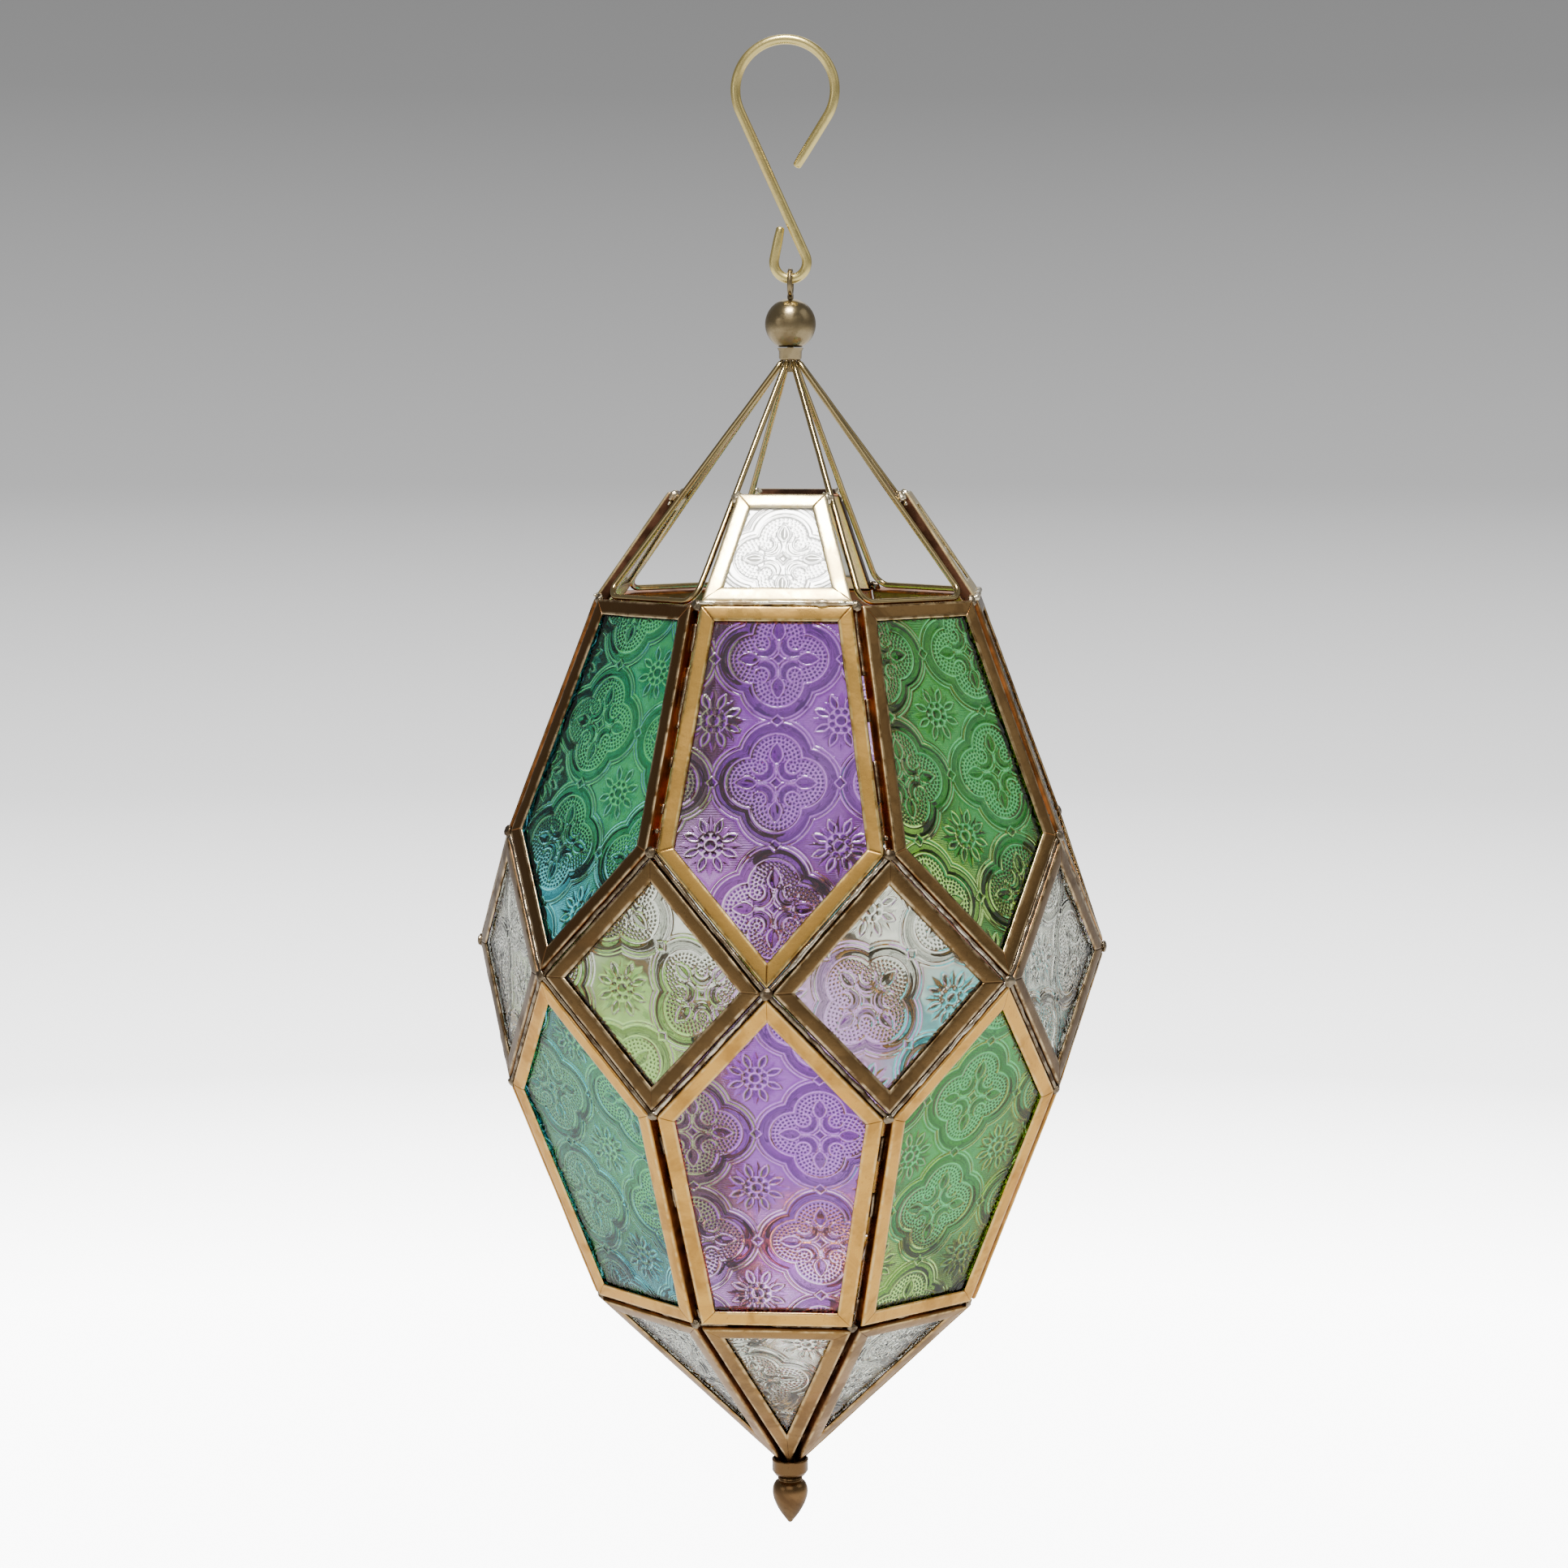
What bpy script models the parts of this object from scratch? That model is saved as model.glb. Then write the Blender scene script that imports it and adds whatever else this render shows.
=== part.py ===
"""Moroccan hanging lantern: an octagonal cage of soldered brass came around pressed-glass panes.

Metres, +Z up, front towards -Y. The origin is where the S-hook bears on its support, on the
lantern's own axis, so the whole lantern hangs below Z = 0.
"""
import math

import bmesh
import bpy
from mathutils import Matrix, Vector

SIDES = 8
STEP = 2 * math.pi / SIDES
FACE_NAMES = ("front", "front_right", "right", "back_right",
              "back", "back_left", "left", "front_left")
CROWN_FACES = (0, 2, 4, 6)
BAY_FACES = (1, 3, 5, 7)

# Heights of the cage's rings above (+) or below (-) its widest ring, which lies at MID_Z.
MID_Z = -0.3186
CROWN_TOP = 0.160
RIM = 0.124
WAIST = 0.043
RING = -0.122
APEX = -0.189

# Radii of the rings' corners, on the inner surface of the cage.
MID_R = 0.108
WAIST_R = MID_R * math.cos(STEP / 2)
FLARE = (MID_R - WAIST_R * math.cos(STEP / 2)) / WAIST
RIM_R = (MID_R - FLARE * RIM) / math.cos(STEP / 2)
RING_R = (MID_R + FLARE * RING) / math.cos(STEP / 2)

# Brass came: a U-channel folded round each pane, open towards the glass.
GAP = 0.0003
CAME_DEPTH = 0.005
CAME_FLANGE = 0.0055
CAME_SHEET = 0.0008
GLASS = CAME_DEPTH - 2 * CAME_SHEET - 2 * GAP
CROWN_HALF_TOP = 0.0153
CROWN_DEPTH_TOP = 0.038

BEAD_R = 0.0016
NOTCH_R = 0.0019

# S-hook.
HOOK_WIRE_R = 0.00175
HOOK_LOOP_R = 0.0175
HOOK_LOOP_X = -0.0019
HOOK_EYE_R = 0.0058
HOOK_PITCH = 0.060
HOOK_ARM = 0.0199
HOOK_TAIL = 0.0107
HOOK_LOOP_Z = -math.sqrt((HOOK_LOOP_R - HOOK_WIRE_R) ** 2 - HOOK_LOOP_X ** 2)
HOOK_EYE_Z = HOOK_LOOP_Z - HOOK_PITCH
SWING_Z = HOOK_EYE_Z - HOOK_EYE_R

# Eye, ball and neck.
EYE_WIRE_R = 0.0009
EYE_R = 0.0043
EYE_Z = SWING_Z + HOOK_WIRE_R + GAP + EYE_WIRE_R - EYE_R
SHANK_R = 0.0011
SHANK_HEAD_R = 0.0023
BALL_R = 0.009
BALL_WALL = 0.001
BALL_Z = EYE_Z - EYE_R - EYE_WIRE_R - GAP - BALL_R
NECK_R = 0.004
NECK_HEIGHT = 0.0045
NECK_TOP = BALL_Z - math.sqrt(BALL_R ** 2 - NECK_R ** 2) - GAP
NECK_BOTTOM = NECK_TOP - NECK_HEIGHT
SPIGOT_R = 0.0017

# Hanger wires, one across each open bay.
WIRE_R = 0.0011
WIRE_TOP_R = 0.0036
WIRE_HALF = 0.0242
WIRE_BEND_R = 0.005

# Bottom fittings.
CUP_R = 0.0067
CUP_TOP = MID_Z + APEX - 0.0016
CUP_BOTTOM = CUP_TOP - 0.0065
FINIAL_R = 0.0065
FINIAL_LENGTH = 0.0175
STUD_R = 0.0015
STUD_HEAD_R = 0.003
SOCKET_R = 0.011
SOCKET_HEIGHT = 0.012
SOCKET_WALL = 0.0008
SOCKET_SEAT = 0.0012
SOCKET_BASE = 0.003

COLORS = {
    "purple_glass": (0.30, 0.13, 0.42, 0.55),
    "lime_glass": (0.50, 0.72, 0.10, 0.55),
    "amber_glass": (0.85, 0.50, 0.10, 0.55),
    "turquoise_glass": (0.05, 0.50, 0.46, 0.55),
    "clear_glass": (0.78, 0.82, 0.76, 0.40),
    "crown_brass": (0.78, 0.66, 0.42, 1.0),
    "bronze_brass": (0.36, 0.25, 0.13, 1.0),
    "golden_brass": (0.62, 0.43, 0.22, 1.0),
    "hook_brass": (0.76, 0.66, 0.36, 1.0),
    "ball_brass": (0.38, 0.31, 0.20, 1.0),
}
SIDE_GLASS = ("purple_glass", "lime_glass", "amber_glass", "turquoise_glass")


# ---------------------------------------------------------------- scene and materials

def clear_scene():
    for obj in list(bpy.data.objects):
        bpy.data.objects.remove(obj, do_unlink=True)


def new_collection(name):
    collection = bpy.data.collections.new(name)
    bpy.context.scene.collection.children.link(collection)
    return collection


def material(name):
    """The named brass or glass, made once."""
    if name in bpy.data.materials:
        return bpy.data.materials[name]
    mat = bpy.data.materials.new(name)
    mat.use_nodes = True
    shader = mat.node_tree.nodes["Principled BSDF"]
    red, green, blue, alpha = COLORS[name]
    is_glass = name.endswith("glass")
    shader.inputs["Base Color"].default_value = (red, green, blue, 1.0)
    shader.inputs["Alpha"].default_value = alpha
    shader.inputs["Metallic"].default_value = 0.0 if is_glass else 1.0
    shader.inputs["Roughness"].default_value = 0.12 if is_glass else 0.38
    mat.diffuse_color = (red, green, blue, alpha)
    return mat


def add_object(name, data, mat_name, collection, origin=(0, 0, 0)):
    obj = bpy.data.objects.new(name, data)
    obj.location = origin
    data.materials.append(material(mat_name))
    collection.objects.link(obj)
    return obj


def add_cutter(name, mesh):
    obj = bpy.data.objects.new(name, mesh)
    CUTTERS.objects.link(obj)
    obj.display_type = "WIRE"
    obj.hide_render = True
    return obj


def add_boolean(obj, other, operation):
    modifier = obj.modifiers.new(operation.title(), "BOOLEAN")
    modifier.operation = operation
    modifier.solver = "EXACT"
    modifier.object = other


def mesh_from(bm, name):
    bmesh.ops.recalc_face_normals(bm, faces=bm.faces)
    mesh = bpy.data.meshes.new(name)
    bm.to_mesh(mesh)
    bm.free()
    return mesh


def shade_smooth(obj):
    for polygon in obj.data.polygons:
        polygon.use_smooth = True


# ---------------------------------------------------------------- cage geometry

def ring_point(radius, turn, height):
    """A point on the ring at this radius; turn counts faces from the front, towards +X."""
    angle = turn * STEP
    return Vector((radius * math.sin(angle), -radius * math.cos(angle), MID_Z + height))


def upper_outline(face):
    return [ring_point(MID_R, face, 0),
            ring_point(WAIST_R, face + 0.5, WAIST),
            ring_point(RIM_R, face + 0.5, RIM),
            ring_point(RIM_R, face - 0.5, RIM),
            ring_point(WAIST_R, face - 0.5, WAIST)]


def diamond_outline(face):
    """The diamond between this face and the next one."""
    return [ring_point(WAIST_R, face + 0.5, -WAIST),
            ring_point(MID_R, face + 1, 0),
            ring_point(WAIST_R, face + 0.5, WAIST),
            ring_point(MID_R, face, 0)]


def lower_outline(face):
    return [ring_point(RING_R, face - 0.5, RING),
            ring_point(RING_R, face + 0.5, RING),
            ring_point(WAIST_R, face + 0.5, -WAIST),
            ring_point(MID_R, face, 0),
            ring_point(WAIST_R, face - 0.5, -WAIST)]


def bottom_outline(face):
    return [ring_point(0, face, APEX),
            ring_point(RING_R, face + 0.5, RING),
            ring_point(RING_R, face - 0.5, RING)]


def crown_outline(face):
    turn = Matrix.Rotation(face * STEP, 3, "Z")
    top_z = MID_Z + CROWN_TOP
    top_right = turn @ Vector((CROWN_HALF_TOP, -CROWN_DEPTH_TOP, top_z))
    top_left = turn @ Vector((-CROWN_HALF_TOP, -CROWN_DEPTH_TOP, top_z))
    return [ring_point(RIM_R, face - 0.5, RIM), ring_point(RIM_R, face + 0.5, RIM),
            top_right, top_left]


def outward_normal(outline):
    return (outline[1] - outline[0]).cross(outline[2] - outline[1]).normalized()


def inset(outline, distance):
    """Move each edge of a flat outline inwards, keeping its corners mitred."""
    normal = outward_normal(outline)
    count = len(outline)
    sides = [(outline[(i + 1) % count] - outline[i]).normalized() for i in range(count)]
    inward = [normal.cross(side) for side in sides]
    moved = []
    for i in range(count):
        before = inward[i - 1]
        after = inward[i]
        moved.append(outline[i] + (before + after) * (distance / (1 + before.dot(after))))
    return moved


def add_came(bm, outline):
    """One closed U-channel round the outline, standing out from the cage's inner surface."""
    section = ((0, 0), (0, CAME_DEPTH), (CAME_FLANGE, CAME_DEPTH),
               (CAME_FLANGE, CAME_DEPTH - CAME_SHEET), (CAME_SHEET, CAME_DEPTH - CAME_SHEET),
               (CAME_SHEET, CAME_SHEET), (CAME_FLANGE, CAME_SHEET), (CAME_FLANGE, 0))
    normal = outward_normal(outline)
    rings = []
    for inward, rise in section:
        points = inset(outline, GAP / 2 + inward)
        rings.append([bm.verts.new(point + normal * rise) for point in points])
    for k, ring in enumerate(rings):
        following = rings[(k + 1) % len(rings)]
        for i in range(len(ring)):
            j = (i + 1) % len(ring)
            bm.faces.new((ring[i], ring[j], following[j], following[i]))


def add_frame(name, outline, mat_name):
    bm = bmesh.new()
    add_came(bm, outline)
    return add_object(name, mesh_from(bm, name), mat_name, PARTS)


def add_pane(name, outline, mat_name):
    """A flat glass pane held in the middle of its came."""
    normal = outward_normal(outline)
    points = inset(outline, GAP / 2 + CAME_SHEET + GAP)
    low = (CAME_DEPTH - GLASS) / 2
    bm = bmesh.new()
    back = [bm.verts.new(point + normal * low) for point in points]
    front = [bm.verts.new(point + normal * (low + GLASS)) for point in points]
    bm.faces.new(back)
    bm.faces.new(front)
    for i in range(len(points)):
        j = (i + 1) % len(points)
        bm.faces.new((back[i], back[j], front[j], front[i]))
    return add_object(name, mesh_from(bm, name), mat_name, PARTS)


def solder_beads(name, centers):
    bm = bmesh.new()
    for center in centers:
        bmesh.ops.create_uvsphere(bm, u_segments=7, v_segments=5, radius=BEAD_R,
                                  matrix=Matrix.Translation(center))
    return add_cutter(name, mesh_from(bm, name))


def seam_centers(start_radius, start, end_radius, end, fractions):
    """Bead centres in the grooves between neighbouring faces, along each shared edge."""
    centers = []
    for face in range(SIDES):
        first = ring_point(start_radius, face + 0.5, start)
        last = ring_point(end_radius, face + 0.5, end)
        edge = (last - first).normalized()
        radial = ring_point(1, face + 0.5, -MID_Z)
        outward = (radial - edge * radial.dot(edge)).normalized()
        for fraction in fractions:
            centers.append(first.lerp(last, fraction) + outward * BEAD_R)
    return centers


def add_tier(name, outlines, centers, mat_name):
    """A ring of came frames made one piece by the solder beads between them."""
    bm = bmesh.new()
    for outline in outlines:
        add_came(bm, outline)
    tier = add_object(name, mesh_from(bm, name), mat_name, PARTS)
    add_boolean(tier, solder_beads(name + "_solder", centers), "UNION")
    return tier


def junction_notches():
    """Clearance round the solder where two diamonds meet between an upper and a lower tip."""
    bm = bmesh.new()
    length = 3 * CAME_DEPTH
    for face in range(SIDES):
        place = Matrix.Translation(ring_point(MID_R + CAME_DEPTH / 2, face, 0))
        lie = Matrix.Rotation(face * STEP, 4, "Z") @ Matrix.Rotation(math.pi / 2, 4, "X")
        bmesh.ops.create_cone(bm, cap_ends=True, segments=16, radius1=NOTCH_R, radius2=NOTCH_R,
                              depth=length, matrix=place @ lie)
    return add_cutter("junction_notches", mesh_from(bm, "junction_notches"))


# ---------------------------------------------------------------- turned and bent pieces

def add_turned(name, profile, mat_name, closed=True, steps=24):
    """Turn a profile of (radius, height) points about the lantern's axis."""
    mesh = bpy.data.meshes.new(name)
    count = len(profile)
    edges = [(i, i + 1) for i in range(count - 1)]
    if closed:
        edges.append((count - 1, 0))
    mesh.from_pydata([(radius, 0, height) for radius, height in profile], edges, [])
    obj = add_object(name, mesh, mat_name, PARTS)
    screw = obj.modifiers.new("Screw", "SCREW")
    screw.steps = steps
    screw.render_steps = steps
    screw.use_merge_vertices = True
    screw.merge_threshold = 0.00001
    screw.use_smooth_shade = True
    return obj


def arc(center_x, center_z, radius, start, end, count):
    """Points (x, z) on an arc, angles in degrees from +X towards +Z."""
    points = []
    for i in range(count + 1):
        angle = math.radians(start + (end - start) * i / count)
        points.append((center_x + radius * math.cos(angle), center_z + radius * math.sin(angle)))
    return points


def wire_curve(name, points, radius, resolution, closed=False):
    """A round wire with flat ends along the given points."""
    curve = bpy.data.curves.new(name, "CURVE")
    curve.dimensions = "3D"
    curve.bevel_depth = radius
    curve.bevel_resolution = resolution
    curve.use_fill_caps = True
    spline = curve.splines.new("POLY")
    spline.points.add(len(points) - 1)
    for target, point in zip(spline.points, points):
        target.co = (*point, 1)
    spline.use_cyclic_u = closed
    spline.use_smooth = True
    return curve


def mesh_of_curve(curve):
    """The curve's surface as a mesh, with the end caps welded on."""
    carrier = bpy.data.objects.new(curve.name, curve)
    bpy.context.scene.collection.objects.link(carrier)
    graph = bpy.context.evaluated_depsgraph_get()
    mesh = bpy.data.meshes.new_from_object(carrier.evaluated_get(graph))
    bpy.data.objects.remove(carrier, do_unlink=True)
    bm = bmesh.new()
    bm.from_mesh(mesh)
    bmesh.ops.remove_doubles(bm, verts=bm.verts, dist=0.00001)
    bm.to_mesh(mesh)
    bm.free()
    mesh.materials.clear()
    return mesh


# ---------------------------------------------------------------- hanging gear

def hook_path():
    """Centre line (x, z) of the S-hook, from the tip of its arm to the tip of its tail."""
    reach = math.hypot(HOOK_LOOP_R, HOOK_ARM)
    arm_turn = math.degrees(math.acos(HOOK_LOOP_R / reach))
    arm_angle = -32
    tip_angle = math.radians(arm_angle - arm_turn)
    tip = (HOOK_LOOP_X + reach * math.cos(tip_angle), HOOK_LOOP_Z + reach * math.sin(tip_angle))
    distance = math.hypot(HOOK_LOOP_X, HOOK_PITCH)
    cross = math.degrees(math.acos((HOOK_LOOP_R + HOOK_EYE_R) / distance))
    lean = math.degrees(math.atan2(-HOOK_LOOP_X, HOOK_PITCH))
    loop_end = 270 + lean - cross
    eye_start = 90 + lean - cross
    eye_end = -191.3
    points = [tip]
    points += arc(HOOK_LOOP_X, HOOK_LOOP_Z, HOOK_LOOP_R, arm_angle, loop_end, 30)
    points += arc(0, HOOK_EYE_Z, HOOK_EYE_R, eye_start, eye_end, 20)
    rise = math.radians(eye_end)
    x, z = points[-1]
    points.append((x + HOOK_TAIL * math.sin(rise), z - HOOK_TAIL * math.cos(rise)))
    return points


def s_hook():
    points = [(x, 0, z) for x, z in hook_path()]
    curve = wire_curve("s_hook", points, HOOK_WIRE_R, 3)
    return add_object("s_hook", curve, "hook_brass", PARTS)


def eye():
    """The eye on the hook: a closed loop with a stem that turns in the ball."""
    loop = [(0, y, EYE_Z - SWING_Z + z) for y, z in arc(0, 0, EYE_R, 0, 345, 23)]
    mesh = mesh_of_curve(wire_curve("eye_loop", loop, EYE_WIRE_R, 2, closed=True))
    obj = add_object("eye", mesh, "ball_brass", PARTS, origin=(0, 0, SWING_Z))
    shade_smooth(obj)
    head_z = NECK_TOP - 0.0003
    stem_top = EYE_Z - EYE_R
    profile = [(0, stem_top), (SHANK_R, stem_top), (SHANK_R, head_z), (SHANK_HEAD_R, head_z),
               (SHANK_HEAD_R, head_z - 0.0012), (0, head_z - 0.0012)]
    stem = add_turned("eye_stem", profile, "ball_brass", closed=False, steps=16)
    PARTS.objects.unlink(stem)
    CUTTERS.objects.link(stem)
    stem.display_type = "WIRE"
    stem.hide_render = True
    add_boolean(obj, stem, "UNION")
    return obj


def ball():
    """A hollow ball with a hole at the top and a flat floor that the eye's head bears on."""
    bore = SHANK_R + GAP
    inner = BALL_R - BALL_WALL
    start = math.degrees(math.acos(bore / BALL_R))
    end = -math.degrees(math.acos(NECK_R / BALL_R))
    outside = [(r, BALL_Z + z) for r, z in arc(0, 0, BALL_R, start, end, 14)]
    floor = outside[-1][1]
    floor_inside = floor + BALL_WALL
    inner_end = math.degrees(math.asin((floor_inside - BALL_Z) / inner))
    inner_start = math.degrees(math.acos(bore / inner))
    inside = [(r, BALL_Z + z) for r, z in arc(0, 0, inner, inner_end, inner_start, 6)]
    profile = outside + [(bore, floor), (bore, floor_inside)] + inside
    return add_turned("ball", profile, "ball_brass", steps=28)


def neck():
    """A cup that encloses the eye's head, with a spigot between the hanger wires."""
    pocket = SHANK_HEAD_R + GAP
    floor = NECK_TOP - 0.0022
    profile = [(0, floor), (pocket, floor), (pocket, NECK_TOP), (NECK_R, NECK_TOP),
               (NECK_R, NECK_BOTTOM + 0.0004), (NECK_R - 0.0004, NECK_BOTTOM),
               (SPIGOT_R, NECK_BOTTOM), (SPIGOT_R * 0.7, NECK_BOTTOM - 0.004),
               (0, NECK_BOTTOM - 0.004)]
    return add_turned("neck", profile, "ball_brass", closed=False)


def hanger_wire(face):
    """One wire, bent to run down one crown panel, along the bay's rim and up the next."""
    normal = outward_normal(upper_outline(face))
    turn = Matrix.Rotation(face * STEP, 3, "Z")
    along = turn @ Vector((1, 0, 0))
    rim_middle = (ring_point(RIM_R, face - 0.5, RIM) + ring_point(RIM_R, face + 0.5, RIM)) / 2
    up_slope = normal.cross(along)
    rise = WIRE_R + GAP
    base = rim_middle + normal * (CAME_DEPTH / 2) + up_slope * rise
    lean = math.atan2(base.xy.length, NECK_BOTTOM - base.z)
    end_z = NECK_BOTTOM - GAP - WIRE_R * math.sin(lean)
    half_top = WIRE_TOP_R * math.sin(STEP / 2)
    radial = turn @ Vector((0, -1, 0))
    top = radial * (WIRE_TOP_R * math.cos(STEP / 2)) + Vector((0, 0, end_z))
    slope = (top - base).normalized()
    length = (top - base).length
    side = math.atan2(WIRE_HALF - half_top, length)
    tangent = WIRE_BEND_R * math.tan((math.pi / 2 + side) / 2)
    center_u = WIRE_HALF - tangent
    bend = arc(center_u, WIRE_BEND_R, WIRE_BEND_R, -90, math.degrees(side), 6)
    right = bend + [(half_top, length)]
    left = [(-u, v) for u, v in reversed(right)]
    points = [base + along * u + slope * v for u, v in left + right]
    name = "hanger_wire_" + FACE_NAMES[face]
    return add_object(name, wire_curve(name, points, WIRE_R, 2), "crown_brass", PARTS)


# ---------------------------------------------------------------- bottom fittings

def base_cup():
    """The cup that gathers the tips of the bottom frames."""
    bore = STUD_R + GAP
    inner = CUP_R - SOCKET_WALL
    floor = CUP_BOTTOM + 0.0035
    profile = [(CUP_R, CUP_TOP), (CUP_R, CUP_BOTTOM + 0.002), (CUP_R - 0.0016, CUP_BOTTOM),
               (bore, CUP_BOTTOM), (bore, floor), (inner - 0.001, floor),
               (inner, floor + 0.001), (inner, CUP_TOP)]
    return add_turned("base_cup", profile, "golden_brass")


def finial():
    """A bud-shaped drop, bored blind for the tie stud."""
    top = CUP_BOTTOM - GAP
    bore = STUD_R + GAP
    belly = top - 0.0055
    tip = top - FINIAL_LENGTH
    shoulder = arc(0, belly, 1, 90, 0, 6)
    profile = [(0, top - 0.0065), (bore, top - 0.0065), (bore, top), (0.0045, top)]
    profile += [(0.0045 + (FINIAL_R - 0.0045) * x, belly + 0.0048 * (z - belly))
                for x, z in shoulder[1:]]
    for i in range(1, 8):
        t = i / 8
        radius = 0.0013 + (FINIAL_R - 0.0013) * (1 - t ** 1.7)
        profile.append((radius, belly + (tip + 0.0008 - belly) * t))
    profile += [(0.0011, tip + 0.0003), (0, tip)]
    return add_turned("finial", profile, "golden_brass", closed=False)


def tie_stud():
    """The headed stud that draws the candle socket, cone tips, cup and finial together."""
    head = SOCKET_BOTTOM + SOCKET_SEAT + GAP
    end = CUP_BOTTOM - GAP - 0.006
    profile = [(0, head + 0.0012), (STUD_HEAD_R, head + 0.0012), (STUD_HEAD_R, head),
               (STUD_R, head), (STUD_R, end), (0, end)]
    return add_turned("tie_stud", profile, "golden_brass", closed=False, steps=16)


def candle_socket():
    """A low candle cup, its stud's head sunk in the floor, resting in the cone on its lower edge."""
    bore = STUD_R + GAP
    sink = STUD_HEAD_R + GAP
    inner = SOCKET_R - SOCKET_WALL
    seat = SOCKET_BOTTOM + SOCKET_SEAT
    floor = SOCKET_BOTTOM + SOCKET_BASE
    top = SOCKET_BOTTOM + SOCKET_HEIGHT
    profile = [(SOCKET_R, top), (SOCKET_R, SOCKET_BOTTOM), (bore, SOCKET_BOTTOM), (bore, seat),
               (sink, seat), (sink, floor), (inner, floor), (inner, top)]
    return add_turned("candle_socket", profile, "golden_brass")


def apex_bore():
    """Room for the tie stud where the bottom frames meet."""
    bm = bmesh.new()
    place = Matrix.Translation((0, 0, MID_Z + APEX))
    bmesh.ops.create_cone(bm, cap_ends=True, segments=16, radius1=STUD_R + GAP,
                          radius2=STUD_R + GAP, depth=0.03, matrix=place)
    return add_cutter("apex_bore", mesh_from(bm, "apex_bore"))


# ---------------------------------------------------------------- assembly

def build_panes():
    for face, side in enumerate(FACE_NAMES):
        glass = SIDE_GLASS[face % 4]
        add_pane("upper_pane_" + side, upper_outline(face), glass)
        add_pane("diamond_pane_%d" % (face + 1), diamond_outline(face), "clear_glass")
        add_pane("lower_pane_" + side, lower_outline(face), glass)
        add_pane("bottom_pane_" + side, bottom_outline(face), "clear_glass")
    for face in CROWN_FACES:
        add_pane("crown_pane_" + FACE_NAMES[face], crown_outline(face), "clear_glass")


def build_cage():
    faces = range(SIDES)
    for face in CROWN_FACES:
        add_frame("crown_frame_" + FACE_NAMES[face], crown_outline(face), "crown_brass")
    upper_seams = seam_centers(RIM_R, RIM, WAIST_R, WAIST, (0.12, 0.88))
    upper = add_tier("upper_frames", [upper_outline(f) for f in faces], upper_seams,
                     "bronze_brass")
    joints = [ring_point(MID_R + CAME_DEPTH / 2, f, 0) for f in faces]
    add_tier("diamond_frames", [diamond_outline(f) for f in faces], joints, "bronze_brass")
    lower_seams = seam_centers(WAIST_R, -WAIST, RING_R, RING, (0.12, 0.88))
    lower = add_tier("lower_frames", [lower_outline(f) for f in faces], lower_seams,
                     "golden_brass")
    bottom_seams = seam_centers(RING_R, RING, 0, APEX, (0.12, 0.75))
    bottom = add_tier("bottom_frames", [bottom_outline(f) for f in faces], bottom_seams,
                      "golden_brass")
    notches = junction_notches()
    add_boolean(upper, notches, "DIFFERENCE")
    add_boolean(lower, notches, "DIFFERENCE")
    add_boolean(bottom, apex_bore(), "DIFFERENCE")


def build_hanging_gear():
    s_hook()
    eye()
    ball()
    neck()
    for face in BAY_FACES:
        hanger_wire(face)


def build_bottom_fittings():
    base_cup()
    finial()
    tie_stud()
    candle_socket()


# The candle socket's lower edge rests on the cone where the cone is just wider than it.
CONE_SLOPE = RING_R * math.cos(STEP / 2) / (RING - APEX)
SOCKET_BOTTOM = MID_Z + APEX + (SOCKET_R + 2 * GAP) / CONE_SLOPE

clear_scene()
PARTS = new_collection("Moroccan metal lantern")
CUTTERS = new_collection("Lantern cutters")
CUTTERS.hide_render = True
build_panes()
build_cage()
build_hanging_gear()
build_bottom_fittings()
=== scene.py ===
"""Looks of the hanging lantern: pressed-glass panes, soldered brass came and bent-wire hanging gear.

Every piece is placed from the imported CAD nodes. Metres, +Z up, front towards -Y.
"""
import math

import bmesh
import bpy
import numpy as np
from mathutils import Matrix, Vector, noise


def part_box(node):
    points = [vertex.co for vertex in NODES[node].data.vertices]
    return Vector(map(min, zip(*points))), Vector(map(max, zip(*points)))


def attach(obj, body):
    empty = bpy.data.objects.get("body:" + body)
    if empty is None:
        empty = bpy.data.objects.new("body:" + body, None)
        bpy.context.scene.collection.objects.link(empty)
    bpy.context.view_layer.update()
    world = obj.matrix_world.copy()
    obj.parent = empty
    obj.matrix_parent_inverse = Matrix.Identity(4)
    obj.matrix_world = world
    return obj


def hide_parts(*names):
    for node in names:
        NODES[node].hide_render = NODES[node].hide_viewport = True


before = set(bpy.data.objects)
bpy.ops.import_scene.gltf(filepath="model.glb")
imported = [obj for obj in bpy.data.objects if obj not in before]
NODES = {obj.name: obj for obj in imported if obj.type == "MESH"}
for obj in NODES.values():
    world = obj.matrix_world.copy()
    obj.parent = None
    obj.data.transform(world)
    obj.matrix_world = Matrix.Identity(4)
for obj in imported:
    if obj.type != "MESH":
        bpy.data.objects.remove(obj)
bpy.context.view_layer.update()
MM = 0.001

SIDES = ("front", "front_right", "right", "back_right", "back", "back_left", "left", "front_left")
STEP = 2 * math.pi / len(SIDES)
CROWN_SIDES = ("front", "right", "back", "left")
BAY_SIDES = ("front_right", "back_right", "back_left", "front_left")
SIDE_GLASS = ("purple_glass", "lime_glass", "amber_glass", "turquoise_glass")

# Came and pane, as the CAD has them: heights above the cage's inner surface.
PANE_INSET = 1.25 * MM
PANE_TOP = 3.9 * MM
CAME_DEPTH = 5.0 * MM
GAP = 0.3 * MM
# The rings of a bar's domed end: (how far out, how wide), in radii.
DOME = ((0.55, 0.84), (0.95, 0.35))


# ---------------- mesh helpers

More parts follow.
